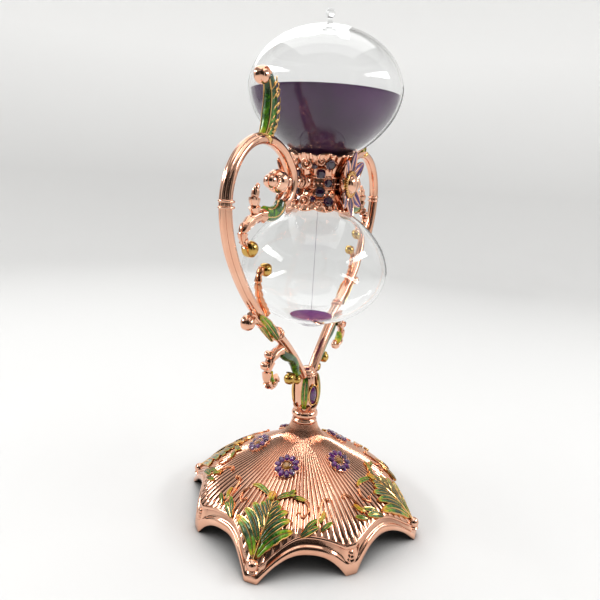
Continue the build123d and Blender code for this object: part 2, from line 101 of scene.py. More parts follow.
# record slots of the materials that are not named for their own slot
OTHER_SLOTS = {"copper_gold": "rose_gold", "dark_gold": "yellow_gold",
               "purple_sand_fallen": "purple_sand"}
slot_of = {}                 # the slot for the name that Blender gives each material


def piece(name, shape, material, body, replaced=(), slot=None, smooth=True, angle=40, recalc=True):
    """Makes a piece of the object from a shape, hangs it on the body that it rides on, and hides the CAD
    parts that it stands for.
    """
    mesh = bpy.data.meshes.new(name)
    mesh.from_pydata([p * MM for p in shape.points], [], shape.faces)
    tone = mesh.attributes.new("tone", "FLOAT", "POINT")
    tone.data.foreach_set("value", shape.tones)
    work = bmesh.new()
    work.from_mesh(mesh)
    bmesh.ops.remove_doubles(work, verts=work.verts, dist=4e-6)
    bmesh.ops.dissolve_degenerate(work, edges=work.edges, dist=1e-6)
    loose = [v for v in work.verts if not v.link_faces]
    bmesh.ops.delete(work, geom=loose, context="VERTS")
    if recalc:
        bmesh.ops.recalc_face_normals(work, faces=work.faces)
    for face in work.faces:
        face.smooth = smooth
    for edge in work.edges:
        if len(edge.link_faces) == 2 and edge.calc_face_angle(0) > radians(angle):
            edge.smooth = False
    work.to_mesh(mesh)
    work.free()
    obj = bpy.data.objects.new(name, mesh)
    bpy.context.scene.collection.objects.link(obj)
    mesh.materials.append(material)
    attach(obj, body)
    slot or slot_of[material.name]
    if replaced:
        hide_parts(*replaced)


def smooth_line(points, spans=6):
    """Points on a smooth line through the given ones."""
    points = [Vector(p) for p in points]
    last = len(points) - 1
    line = []
    for i in range(last):
        a, b = points[max(i - 1, 0)], points[i]
        c, d = points[i + 1], points[min(i + 2, last)]
        for step in range(spans):
            t = step / spans
            line.append(0.5 * (2 * b + (c - a) * t + (2 * a - 5 * b + 4 * c - d) * t * t
                               + (3 * b - a - 3 * c + d) * t ** 3))
    line.append(points[-1].copy())
    return line


def polar(radius, angle, height=0.0):
    """A point at a plan angle in degrees."""
    return Vector((radius * cos(radians(angle)), radius * sin(radians(angle)), height))


def facing(origin, normal, up=UP):
    """A function that places a local point: x to the side, y upward, z along normal."""
    normal = Vector(normal).normalized()
    side = Vector(up).cross(normal).normalized()
    rise = normal.cross(side)
    origin = Vector(origin)
    return lambda x, y, z=0.0: origin + side * x + rise * y + normal * z


def lathe(shape, profile, place, steps=48, ripple=None):
    """A turned form: profile is (radius, height) along the local z of place."""
    rows = []
    for radius, height in profile:
        row = []
        for k in range(steps):
            turn = 2 * pi * k / steps
            r, h = ripple(radius, height, turn) if ripple else (radius, height)
            row.append(place(r * cos(turn), r * sin(turn), h))
        rows.append(row)
    shape.rows(rows)


def arc_profile(radius, start, end, steps, middle=0.0, ring=0.0):
    """Profile points on an arc, from one angle above the equator to another, in degrees."""
    made = []
    for k in range(steps + 1):
        turn = radians(start + (end - start) * k / steps)
        made.append((ring + radius * cos(turn), middle + radius * sin(turn)))
    return made


def ball(shape, centre, radius, normal=UP, steps=32):
    place = facing(centre, normal, ACROSS if abs(Vector(normal).normalized().y) < 0.9 else UP)
    lathe(shape, arc_profile(radius, -90, 90, steps // 2), place, steps)


def oval(wide, high, count=16):
    return [(wide * cos(2 * pi * k / count), high * sin(2 * pi * k / count)) for k in range(count)]


def taper(start, loss):
    """A scale that falls evenly along a path."""
    return lambda share: start - loss * share


def sweep(shape, path, ups, section, size=None, tones=(0.0, 0.0)):
    """Carries a section along a path, closed at both ends. size gives its scale at a share."""
    last = len(path) - 1
    rows = []
    for i, point in enumerate(path):
        ahead = (path[min(i + 1, last)] - path[max(i - 1, 0)]).normalized()
        up = ups[i] if isinstance(ups, list) else ups
        side = ahead.cross(up).normalized()
        rise = side.cross(ahead)
        scale = size(i / last) if size else 1.0
        rows.append([point + (side * a + rise * b) * scale for a, b in section])
    count = len(section)
    rows = [[path[0]] * count] + rows + [[path[-1]] * count]
    steps = [min(max((k - 1) / last, 0), 1) for k in range(len(rows))]
    shape.rows(rows, [tones[0] + (tones[1] - tones[0]) * s for s in steps])


def tone_along(tones, share):
    """The tone at a share of the way along, between the given ones."""
    place = share * (len(tones) - 1)
    first = min(int(place), len(tones) - 2)
    return tones[first] + (tones[first + 1] - tones[first]) * (place - first)


LEAF_TOP = [(-1, 0.2), (-0.93, 0.85), (-0.8, 0.8), (-0.7, 0.3), (-0.4, 0.22), (-0.16, 0.3), (-0.07, 0.85),
            (0.07, 0.85), (0.16, 0.3), (0.4, 0.22), (0.7, 0.3), (0.8, 0.8), (0.93, 0.85), (1, 0.2)]
LEAF_UNDER = [(1, -0.2), (0.6, -0.6), (0, -0.8), (-0.6, -0.6), (-1, -0.2)]
LEAF_FILL = [(0.1, 0.1), (0.13, 0.55), (0.28, 0.78), (0.5, 0.82), (0.68, 0.72), (0.8, 0.5), (0.8, 0.1)]


def leaf(metal, enamel, spine, ups, width, depth=1.0, lobes=0, cut=0.22, cup=0.0, tones=(0.0, 1.0)):
    """A cast leaf: a metal tray with raised edges and a vein, and enamel in its two halves."""
    last = len(spine) - 1
    tray, fills = [], {-1: [], 1: []}
    shades = []
    for i, point in enumerate(spine):
        share = i / last
        ahead = (spine[min(i + 1, last)] - spine[max(i - 1, 0)]).normalized()
        up = ups[i] if isinstance(ups, list) else ups
        side = ahead.cross(up).normalized()
        rise = side.cross(ahead)
        half = width * (max(sin(pi * min(share * 0.93 + 0.05, 1)), 0) ** 0.75)
        notch = 0.0
        if lobes:
            notch = (share * lobes) % 1.0
            half *= 1 - cut * notch ** 2
        thin = 0.55 + 0.45 * sin(pi * min(share + 0.12, 1))

        def spot(q, h):
            return point + side * (q * half) + rise * (h * depth * thin + cup * q * q * half)

        tray.append([spot(q, h) for q, h in LEAF_TOP + LEAF_UNDER])
        ridge = 1 - 0.22 * notch
        for hand in (-1, 1):
            fills[hand].append([spot(hand * q, h * (ridge if h > 0.2 else 1)) for q, h in LEAF_FILL])
        shades.append(tone_along(tones, share))
    count = len(tray[0])
    metal.rows([[spine[0]] * count] + tray + [[spine[-1]] * count])
    inner = slice(1, last)
    levels = shades[inner]
    for hand in (-1, 1):
        rows = fills[hand][inner]
        wide = len(rows[0])
        start, end = (sum(row, Vector()) / wide for row in (rows[0], rows[-1]))
        enamel.rows([[start] * wide] + rows + [[end] * wide], [levels[0]] + levels + [levels[-1]])


def gem(shape, place, wide, high, tall, sides=8, table=0.5, turn=0.5):
    """A faceted stone with a girdle, a crown and a table, its back flat on the place."""
    rows = []
    for scale, height, shift in ((0, 0, 0), (0.9, 0, 0), (1.0, 0.35, 0), (0.82, 0.72, 0.5),
                                 (table, 1.0, 0), (0, 1.0, 0)):
        row = []
        for k in range(sides):
            angle = 2 * pi * (k + turn + shift) / sides
            row.append(place(wide * scale * cos(angle), high * scale * sin(angle), tall * height))
        rows.append(row)
    shape.rows(rows)


def volute(shape, centre, radius, start, turns, hand, body, wide):
    """A rolled end in the arm's plane: a polished ball with a band that winds into it."""
    ball(shape, centre, radius * body, ACROSS, 28)
    path = []
    steps = int(18 * turns) + 2
    for k in range(steps + 1):
        share = k / steps
        reach = radius * (0.93 - 0.28 * share)
        angle = radians(start + hand * 360 * turns * share)
        path.append(centre + Vector((reach * cos(angle), 0, reach * sin(angle))))
    section = oval(radius * wide, radius * 0.16, 12)
    ups = [(p - centre).normalized() for p in path]
    sweep(shape, path, ups, section, taper(1, 0.35))


def bead_row(shape, places, radius, normal=UP, steps=10):
    for place in places:
        ball(shape, place, radius, normal, steps)


# ------------------------------------------------------------------ materials

def tree_of(name):
    material = bpy.data.materials.new(name)
    slot_of[material.name] = OTHER_SLOTS.get(name, name)
    material.use_nodes = True
    return material, material.node_tree, material.node_tree.nodes["Principled BSDF"]


def wire(tree, source, target):
    tree.links.new(source, target)


def fix(node, **values):
    """Sets inputs that stay constant. An underscore stands for the space in an input's name."""
    for name, value in values.items():
        node.inputs[name.replace("_", " ")].default_value = value


def noise_of(tree, scale, detail=4.0, rough=0.55):
    """Noise in the object's own space, with scale in lumps a metre."""
    coordinates = tree.nodes.new("ShaderNodeTexCoord")
    made = tree.nodes.new("ShaderNodeTexNoise")
    fix(made, Scale=scale, Detail=detail, Roughness=rough)
    wire(tree, coordinates.outputs["Object"], made.inputs["Vector"])
    return made.outputs["Fac"]


def ramp_of(tree, source, stops):
    """Blends colours by a value. stops are (place, colour)."""
    made = tree.nodes.new("ShaderNodeValToRGB")
    ramp = made.color_ramp
    while len(ramp.elements) < len(stops):
        ramp.elements.new(0.5)
    for element, (place, colour) in zip(ramp.elements, stops):
        element.position = place
        element.color = (*colour, 1)
    wire(tree, source, made.inputs["Fac"])
    return made.outputs["Color"]


def span_of(tree, source, low, high, start=0.3, end=0.7):
    made = tree.nodes.new("ShaderNodeMapRange")
    fix(made, From_Min=start, From_Max=end, To_Min=low, To_Max=high)
    wire(tree, source, made.inputs["Value"])
    return made.outputs["Result"]


def blend_of(tree, factor, first, second, mode="MIX"):
    """Mixes two colours. factor is a socket or a number, first and second are sockets or colours."""
    made = tree.nodes.new("ShaderNodeMix")
    made.data_type = "RGBA"
    made.blend_type = mode
    for name, value in (("Factor", factor), ("A", first), ("B", second)):
        if isinstance(value, bpy.types.NodeSocket):
            wire(tree, value, made.inputs[name])
        else:
            made.inputs[name].default_value = (*value, 1) if isinstance(value, tuple) else value
    return [s for s in made.outputs if s.type == "RGBA"][0]


def bump_of(tree, source, strength, distance):
    made = tree.nodes.new("ShaderNodeBump")
    fix(made, Strength=strength, Distance=distance)
    wire(tree, source, made.inputs["Height"])
    return made.outputs["Normal"]


def plated(name, bright, deep, recess_shade, roughness, bump=0.05):
    """Polished plating: soft drift of colour, painted shade in the recesses and near-black painted shade
    where the tone marks an inner lining, brushed roughness, tiny ripples.
    """
    material, tree, shader = tree_of(name)
    fix(shader, Metallic=1.0)
    drift = ramp_of(tree, noise_of(tree, 55, 3), [(0.3, deep), (0.7, bright)])
    # painted shade: where pointiness marks a hollow, the colour goes to the dark recess colour
    geometry = tree.nodes.new("ShaderNodeNewGeometry")
    hollow = span_of(tree, geometry.outputs["Pointiness"], 0.0, 1.0, 0.38, 0.49)
    lit = blend_of(tree, hollow, recess_shade, drift)
    # painted shade: where the tone is high, on the foot's underside and inner lining, the colour goes near
    # black
    lining_shade = tree.nodes.new("ShaderNodeAttribute")
    lining_shade.attribute_name = "tone"
    colour = blend_of(tree, lining_shade.outputs["Fac"], lit, (0.03, 0.014, 0.01))
    wire(tree, colour, shader.inputs["Base Color"])
    wire(tree, span_of(tree, noise_of(tree, 420, 5), roughness * 0.7, roughness * 1.5),
         shader.inputs["Roughness"])
    wire(tree, bump_of(tree, noise_of(tree, 260, 3), bump, 0.0006), shader.inputs["Normal"])
    return material


def enamelled(name, stops):
    """Glossy enamel over metal, coloured by the tone along each leaf, with fine streaks."""
    material, tree, shader = tree_of(name)
    tone = tree.nodes.new("ShaderNodeAttribute")
    tone.attribute_name = "tone"
    blotch = span_of(tree, noise_of(tree, 330, 3), -0.2, 0.2)
    add = tree.nodes.new("ShaderNodeMath")
    add.operation = "ADD"
    add.use_clamp = True
    wire(tree, tone.outputs["Fac"], add.inputs[0])
    wire(tree, blotch, add.inputs[1])
    colour = ramp_of(tree, add.outputs["Value"], stops)
    shade = ramp_of(tree, noise_of(tree, 900, 4), [(0.35, (0.65, 0.65, 0.65)), (0.65, (1, 1, 1))])
    wire(tree, blend_of(tree, 1.0, colour, shade, "MULTIPLY"), shader.inputs["Base Color"])
    fix(shader, Metallic=0.1, Coat_Weight=0.5, Coat_Roughness=0.05)
    wire(tree, span_of(tree, noise_of(tree, 700, 3), 0.16, 0.32), shader.inputs["Roughness"])
    wire(tree, bump_of(tree, noise_of(tree, 500, 2), 0.12, 0.0005), shader.inputs["Normal"])
    return material


def stony(name, deep, bright):
    """Cut stone or glass paste with cloudy depth and a hard polish."""
    material, tree, shader = tree_of(name)
    colour = ramp_of(tree, noise_of(tree, 420, 2), [(0.32, deep), (0.68, bright)])
    wire(tree, colour, shader.inputs["Base Color"])
    wire(tree, span_of(tree, noise_of(tree, 800, 3), 0.03, 0.12), shader.inputs["Roughness"])
    fix(shader, Transmission_Weight=0.15, IOR=1.6, Coat_Weight=1.0, Coat_Roughness=0.03)
    return material


def grainy(name, deep, bright, roughness, scale, strength, distance):
    material, tree, shader = tree_of(name)
    cloud = ramp_of(tree, noise_of(tree, 40, 3), [(0.3, deep), (0.7, bright)])
    dots = ramp_of(tree, noise_of(tree, scale, 2, 0.8), [(0.35, (0.6, 0.6, 0.6)), (0.6, (1, 1, 1))])
    wire(tree, blend_of(tree, 1.0, cloud, dots, "MULTIPLY"), shader.inputs["Base Color"])
    wire(tree, span_of(tree, noise_of(tree, scale, 2), roughness * 0.85, min(roughness * 1.1, 1.0)),
         shader.inputs["Roughness"])
    wire(tree, bump_of(tree, noise_of(tree, scale, 2, 0.7), strength, distance), shader.inputs["Normal"])
    return material


def clear_glass(name):
    """Blown glass that lamps shine through, with a faint waviness."""
    material, tree, shader = tree_of(name)
    fix(shader, Base_Color=(0.985, 0.99, 0.99, 1), Transmission_Weight=1.0, IOR=1.38)
    wire(tree, span_of(tree, noise_of(tree, 30, 2), 0.0, 0.012), shader.inputs["Roughness"])
    wire(tree, bump_of(tree, noise_of(tree, 22, 1), 0.04, 0.002), shader.inputs["Normal"])
    path = tree.nodes.new("ShaderNodeLightPath")
    either = tree.nodes.new("ShaderNodeMath")
    either.operation = "MAXIMUM"
    wire(tree, path.outputs["Is Shadow Ray"], either.inputs[0])
    wire(tree, path.outputs["Is Diffuse Ray"], either.inputs[1])
    through = tree.nodes.new("ShaderNodeBsdfTransparent")
    fix(through, Color=(0.95, 0.95, 0.96, 1))
    mix = tree.nodes.new("ShaderNodeMixShader")
    wire(tree, either.outputs["Value"], mix.inputs["Fac"])
    wire(tree, shader.outputs["BSDF"], mix.inputs[1])
    wire(tree, through.outputs["BSDF"], mix.inputs[2])
    wire(tree, mix.outputs["Shader"], tree.nodes["Material Output"].inputs["Surface"])
    return material


ROSE = plated("rose_gold", (0.88, 0.52, 0.37), (0.80, 0.41, 0.27), (0.10, 0.03, 0.018), 0.10)
GOLD = plated("yellow_gold", (0.84, 0.52, 0.22), (0.66, 0.38, 0.12), (0.14, 0.06, 0.015), 0.13)
DARK_GOLD = plated("dark_gold", (0.66, 0.42, 0.12), (0.44, 0.26, 0.06), (0.10, 0.05, 0.012), 0.13)
COPPER = plated("copper_gold", (0.86, 0.40, 0.22), (0.72, 0.28, 0.13), (0.10, 0.03, 0.015), 0.14)
STEEL = plated("steel", (0.62, 0.62, 0.64), (0.5, 0.5, 0.52), (0.2, 0.2, 0.21), 0.3, 0.1)
GREEN = enamelled("green_enamel", [(0.0, (0.003, 0.02, 0.004)), (0.30, (0.014, 0.085, 0.004)),
                                   (0.56, (0.14, 0.34, 0.006)), (0.80, (0.70, 0.50, 0.010)),
                                   (1.0, (0.88, 0.27, 0.008))])
VIOLET = enamelled("purple_enamel", [(0.0, (0.02, 0.004, 0.04)), (0.5, (0.05, 0.01, 0.10)),
                                     (1.0, (0.14, 0.06, 0.26))])
AMETHYST = stony("purple_stone", (0.022, 0.001, 0.034), (0.16, 0.012, 0.19))
JET = stony("dark_stone", (0.006, 0.001, 0.008), (0.04, 0.004, 0.045))
TOPAZ = stony("topaz_stone", (0.10, 0.035, 0.004), (0.5, 0.22, 0.03))
GLASS = clear_glass("clear_glass")
SAND = grainy("purple_sand", (0.026, 0.001, 0.034), (0.062, 0.004, 0.074), 0.75, 4200, 0.35, 0.0002)
FALLEN = grainy("purple_sand_fallen", (0.09, 0.005, 0.115), (0.17, 0.014, 0.19), 0.8, 4200, 0.35, 0.0002)
RUBBER = grainy("sleeve_rubber", (0.12, 0.11, 0.11), (0.2, 0.19, 0.19), 0.6, 1500, 0.2, 0.0001)


# ------------------------------------------------------------------ foot

foot_line = smooth_line([(r, z) for r, z in FOOT_PROFILE], 8)


def foot_height(radius):
    """Height of the foot's upper surface, and its slope there."""
    for (r0, z0), (r1, z1) in zip(foot_line, foot_line[1:]):
        if radius <= r1:
            share = (radius - r0) / (r1 - r0)
            return z0 + (z1 - z0) * share, (z1 - z0) / (r1 - r0)
    (r0, z0), (r1, z1) = foot_line[-2], foot_line[-1]
    slope = (z1 - z0) / (r1 - r0)
    return z1 + slope * (radius - r1), slope


def on_foot(radius, angle, lift=0.0):
    """A point above the foot's surface and the surface's normal. angle is in degrees."""
    height, slope = foot_height(radius)
    normal = polar(-slope, angle, 1).normalized()
    return polar(radius, angle, height) + normal * lift, normal


def rim_at(angle):
    """Plan radius of the rim, how far the place is from a tip (0 at a post, 1 clear), arch height."""
    turn = (angle - FOOT_TURN) % (2 * SECTOR)
    offset = (turn % SECTOR) - SECTOR / 2
    tip = MAJOR_RADIUS if abs(turn - SECTOR) > SECTOR / 2 else MINOR_RADIUS
    share = min(abs(offset) / (SECTOR / 2 - TIP_HALF_ANGLE), 1.0)
    radius = MID_RADIUS + (tip - MID_RADIUS) * share ** 1.85
    clear = min(max((1 - share) / 0.12, 0), 1)
    arch = ARCH_HEIGHT * (1 - share ** 2.9)
    return radius, clear, arch


def reed(angle):
    """Height of the convex reeds at a plan angle, from 0 in a groove to 1 on a crest."""
    place = ((angle - FOOT_TURN) / SECTOR * REEDS_PER_SECTOR) % 1.0
    return sqrt(max(1 - (2 * place - 1) ** 2, 0))


STEPS_PER_REED = 7
COLUMNS = 8 * REEDS_PER_SECTOR * STEPS_PER_REED
RIM_LEAN = 3.4
DOME_ROWS = 60
DOME_START = FOOT_PROFILE[0][0]
DOME_REACH = 56.6            # where the rows of the dome stop being circles
# the band: share down the leaning face, and how far it stands out
RIM_BAND = [(0.0, 0.1), (0.03, 0.55), (0.09, 0.75), (0.15, 0.55), (0.18, -0.1), (0.22, -0.75),
            (0.40, -0.85), (0.50, -0.8), (0.54, -0.2), (0.57, 0.3), (0.66, 0.55), (0.80, 0.55),
            (0.92, 0.35), (1.0, 0.0)]


def foot_row(spot):
    """A row round the foot. spot gives a point from the angle, and what rim_at says there."""
    made = []
    for k in range(COLUMNS):
        angle = FOOT_TURN + 360 * k / COLUMNS
        made.append(spot(angle, *rim_at(angle)))
    return made


def dome_spot(share):
    """A point of the reeded dome, at a share of the way from the neck to the rim."""
    swell = min(share / 0.05, 1) * min((1 - share) / 0.03, 1)
    tall = (0.42 + 0.5 * min(share * 1.6, 1)) * swell

    def spot(angle, rim, clear, arch):
        edge = rim - RIM_LEAN
        radius = DOME_START + (DOME_REACH - DOME_START) * share ** 1.5 + (edge - DOME_REACH) * share ** 4
        return on_foot(radius, angle, tall * (reed(angle) - 0.6))[0]

    return spot


def band_spot(share, out):
    """A point of the leaning rim band, whose hollow dies out at the tips."""
    def spot(angle, rim, clear, arch):
        top = foot_height(rim - RIM_LEAN)[0]
        radius = rim - RIM_LEAN * (1 - share) ** 1.4 - 0.55 + (out if out > 0 else out * clear)
        return polar(radius, angle, top + (arch - top) * share)

    return spot


rows = [foot_row(dome_spot(step / DOME_ROWS)) for step in range(DOME_ROWS + 1)]
rows += [foot_row(band_spot(share, out)) for share, out in RIM_BAND]
rows.append(foot_row(lambda angle, rim, clear, arch: polar(rim - 2.0, angle, arch)))
rows.append(foot_row(lambda angle, rim, clear, arch: polar(rim - 2.6, angle, arch + 1.2)))
inner_top = foot_height(56.0)[0] - 3.0
rows.append(foot_row(lambda angle, rim, clear, arch: polar(56.0, angle, max(inner_top, arch + 1.4))))
for radius, height in FOOT_UNDER[::-1][2:]:
    rows.append(foot_row(lambda angle, rim, clear, arch: polar(radius, angle, height)))
rows.append([polar(3.3, 360 * k / COLUMNS, 57.4) for k in range(COLUMNS)])
foot = Shape()
seen_rows = DOME_ROWS + 1 + len(RIM_BAND)
# tone 0.6 under the rim and 1.0 over the inner lining: painted shade that darkens the inside of the foot
foot.rows(rows, [0.0] * seen_rows + [0.6] + [1.0] * (len(rows) - seen_rows - 1), along=True)
piece("foot_shell", foot, ROSE, "stand", ["base_dome"], angle=50)

# balls on the major tips, each in a small turned cup, and ridged posts on the minor ones
beads = Shape()
for step in range(8):
    angle = FOOT_TURN + SECTOR * step
    if step % 2 == 0:
        place = facing(polar(69.5, angle, 5.4), UP, polar(1, angle))
        lathe(beads, [(0, 0), (2.9, 0), (3.1, 0.5), (2.6, 1.0), (2.2, 1.2)]
              + arc_profile(3.0, -34, 90, 14, 3.3), place, 32)
    else:
        for lift in (0.0, 1.6, 3.2):
            place = facing(polar(61.6, angle, 8.2 + lift), polar(1, angle, 0.75))
            edge = arc_profile(0.8, -60, 80, 5, 0.5, 2.0 - 0.4 * lift)
            lathe(beads, [(0, -0.8), (3.1 - 0.5 * lift, -0.8)] + edge + [(0, 1.3)], place, 24)
piece("foot_tip_balls", beads, ROSE, "stand", ["tip_beads"])


def foot_path(points, lift, spans=6):
    """A smooth path over the foot through (radius, angle) points, with the normals along it."""
    line = smooth_line([(r, a) for r, a in points], spans)
    placed = [on_foot(r, a, lift) for r, a in line]
    return [p for p, n in placed], [n for p, n in placed]


spray_gold, spray_green = Shape(), Shape()
# leaflets of one side of a spray: (radius, degrees from the stem) along each, and half width
LEAFLETS = [([(66.5, 0.6), (61.2, 4.4), (57.6, 10.0), (55.6, 17.5)], 3.5),
            ([(61.5, 0.4), (56.4, 4.6), (53.0, 9.6), (51.4, 15.0)], 2.7),
            ([(56.5, 0.3), (52.0, 4.2), (49.2, 8.6), (47.6, 12.6)], 2.35),
            ([(51.8, 0.2), (48.2, 3.8), (45.8, 7.2)], 2.0),
            ([(48.2, 0.2), (45.4, 2.6), (43.6, 4.4)], 1.6)]
for step in range(4):
    origin = FOOT_TURN + 90 * step
    path, ups = foot_path([(68.0, origin), (56, origin + 0.4), (42.5, origin)], 1.1, 10)
    sweep(spray_gold, path, ups, oval(0.7, 0.8, 8), taper(1, 0.5))
    for place, (points, half) in enumerate(LEAFLETS):
        for hand, spread in ((-1, 1.0), (1, 0.9)):
            turned = [(r, origin + hand * spread * a) for r, a in points]
            path, ups = foot_path(turned, 0.7 + 0.25 * (place % 2), 6)
            leaf(spray_gold, spray_green, path, ups, half, 1.05, lobes=4 if half > 3 else 0, cut=0.14,
                 tones=(0.70, 0.5, 0.15, 0.55, 1.0) if half > 3 else (0.4, 0.1, 0.35, 1.0))
    # the bud at the head of the spray and the small leaves that spring from it
    path, ups = foot_path([(44.5, origin - 1.5), (42.0, origin - 2), (39.8, origin - 1.4)], 1.0, 5)
    leaf(spray_gold, spray_green, path, ups, 2.3, 1.6, tones=(0.7, 0.95))
    for points, half in (([(43, -1.5), (41.4, -4.5), (40.2, -7.5)], 1.5),
                         ([(42.6, -2.5), (40.6, -9), (39.6, -16), (40.6, -21.5)], 1.6),
                         ([(43, 1.5), (40.8, 6), (39.6, 11), (40.4, 16)], 1.6),
                         ([(40.4, 9), (38.4, 12), (37.2, 15)], 1.2),
                         ([(40.8, 13), (41.2, 18), (42.2, 23.5)], 1.3)):
        path, ups = foot_path([(r, origin + a) for r, a in points], 0.8, 6)
        leaf(spray_gold, spray_green, path, ups, half, 0.95, tones=(0.15, 0.95))
piece("spray_leaves", spray_green, GREEN, "stand", ["leaf_sprays"])
piece("spray_edges", spray_gold, GOLD, "stand")

sprig_gold, sprig_green, curl_gold = Shape(), Shape(), Shape()
for step in range(4):
    origin = FOOT_TURN + 90 * step
    for hand in (-1, 1):
        for points, half, tones in (
                ([(57.5, 19.5), (55.2, 24), (53.6, 29.5)], 2.0, (0.1, 0.55)),
                ([(55.6, 21), (52.6, 25), (50.4, 30)], 1.5, (0.1, 0.6)),
                ([(52.5, 29), (49.8, 32.5), (47.0, 34)], 1.3, (0.55, 1.0)),
                ([(55.5, 30), (53.6, 34), (52.4, 37.5)], 1.4, (0.15, 0.7))):
            path, ups = foot_path([(r, origin + hand * a) for r, a in points], 0.75, 7)
            leaf(sprig_gold, sprig_green, path, ups, half, 1.0, tones=tones)
        for points, thick in (([(53.5, 29), (48.5, 30.5), (44.0, 33), (41.4, 36.5), (42.4, 39)], 0.75),
                              ([(42.2, 22), (45.6, 24.5), (48.6, 22.5), (49.6, 20), (47.8, 18.8)], 0.6)):
            path, ups = foot_path([(r, origin + hand * a) for r, a in points], 0.7, 7)
            sweep(curl_gold, path, ups, oval(thick, thick, 10), taper(1.15, 0.55))
            ball(curl_gold, path[-1], thick * 1.5, ups[-1], 14)
piece("sprig_leaves", sprig_green, GREEN, "stand", ["side_sprigs"])
piece("sprig_edges", sprig_gold, GOLD, "stand")
piece("sprig_curls", curl_gold, COPPER, "stand")

settings, petals, hearts = Shape(), Shape(), Shape()
for step in range(5):
    angle = FOOT_TURN + 180 + 72 * step
    centre, normal = on_foot(25.5, angle, 0.0)
    outward = polar(1, angle)
    place = facing(centre + normal * 0.2, normal, outward)

    def scallop(radius, height, turn):
        if radius > 5:
            return radius * (1 - 0.05 * (1 + cos(10 * turn + pi)) / 2), height
        return radius, height

    lathe(settings, [(0, -1.6), (6.6, -1.6), (7.3, 0.3), (7.3, 0.9), (6.9, 1.15), (3.5, 1.2), (3.2, 2.0),
                     (2.9, 2.35), (2.5, 2.0), (2.3, 1.3), (0, 1.2)], place, 80, scallop)
    for k in range(10):
        turn = 2 * pi * k / 10
        spoke = Vector((cos(turn), sin(turn)))
        stone = facing(place(spoke.x * 5.1, spoke.y * 5.1, 1.1), normal,
                       place(spoke.x, spoke.y) - place(0, 0))
        gem(petals, stone, 1.62, 2.25, 1.5, 8, 0.5)
        half_turn = turn + pi / 10
        for reach in (3.6, 7.0):
            ball(settings, place(reach * cos(half_turn), reach * sin(half_turn), 1.6), 0.42, normal, 8)
    gem(hearts, facing(place(0, 0, 1.25), normal, outward), 2.4, 2.4, 1.5, 10, 0.55)
piece("foot_flower_settings", settings, ROSE, "stand", ["flower_settings"])
piece("foot_flower_petals", petals, AMETHYST, "stand", ["petal_stones"], smooth=False)
piece("foot_flower_hearts", hearts, TOPAZ, "stand", ["centre_stones"], smooth=False)

# ------------------------------------------------------------------ neck and stem

upright = facing((0, 0, 0), UP, ACROSS)
ring = Shape()
lathe(ring, [(3.2, 57.2), (6.6, 57.2)] + arc_profile(1.0, -70, 60, 8, 58.4, 6.3)
      + arc_profile(2.7, -62, 66, 16, 62.4, 5.0) + [(5.9, 65.2), (3.2, 65.2)], upright, 64)


def cup_ripple(radius, height, turn):
    if height > 66.4:
        return radius + 0.35 * cos(8 * turn), height + 0.7 * cos(8 * turn)
    return radius, height


lathe(ring, [(4.5, 64.4), (6.4, 64.6), (7.0, 66.0), (7.3, 67.6), (6.8, 68.0), (5.8, 66.5), (4.5, 65.5)],
      upright, 64, cup_ripple)
piece("neck_rings", ring, ROSE, "stand", ["neck_ring"])

stem = Shape()
stem_line = smooth_line([(5.7, 65.3), (6.1, 69), (6.8, 76), (6.5, 83), (5.1, 88.5), (2.4, 91)], 5)


def facet(radius, height, turn):
    """Six softly flattened faces, as on the cast stem."""
    wave = abs(((turn / (2 * pi) * 6) % 1.0) - 0.5) * 2
    return radius * (0.955 + 0.045 * wave ** 2), height


lathe(stem, [(0, 65.3)] + [tuple(p) for p in stem_line] + [(0, 91.2)], upright, 72, facet)
for level, reach in ((88.2, 5.2), (86.9, 5.6)):
    lathe(stem, arc_profile(0.6, -180, 180, 12, level, reach), upright, 48)
piece("stem_column", stem, ROSE, "stand", ["stem"])

STEM_LEAF = [(6.2, 66.6), (7.2, 71), (7.7, 77), (7.1, 84), (6.2, 87.6)]
bezels, stones, stem_gold, stem_green = Shape(), Shape(), Shape(), Shape()
for angle in (-120, 60):
    out = polar(1, angle)
    place = facing(out * 5.6 + UP * 76, out)
    rim = []
    for radius, height in [(2.0, 0)] + [(2.95 + 0.45 * cos(radians(t)), 1.9 + 0.5 * sin(radians(t)))
                                         for t in range(-60, 181, 30)] + [(2.2, 0.8)]:
        rim.append([place(radius * cos(2 * pi * k / 40), (radius + 3.1) * sin(2 * pi * k / 40), height)
                    for k in range(40)])
    bezels.rows(rim, along=True)
    rows = []
    for share in range(0, 91, 10):
        size = cos(radians(share))
        rows.append([place(2.5 * size * cos(2 * pi * k / 40), 5.6 * size * sin(2 * pi * k / 40),
                           0.9 + 2.0 * sin(radians(share))) for k in range(40)])
    stones.rows([[place(0, 0, 0.3)] * 40] + rows)
    for hand in (-1, 1):
        out = polar(1, angle + hand * 40)
        spine = [out * r + UP * z for r, z in smooth_line(STEM_LEAF, 6)]
        leaf(stem_gold, stem_green, spine, out, 2.3, 1.1, cup=-0.18, tones=(0.62, 0.25))
piece("stem_bezels", bezels, GOLD, "stand", ["gem_bezels"])
piece("stem_stones", stones, AMETHYST, "stand", ["stem_gems"])
piece("stem_leaf_enamel", stem_green, GREEN, "stand", ["stem_leaves"])
piece("stem_leaf_edges", stem_gold, GOLD, "stand")

# ------------------------------------------------------------------ arms and their ornaments


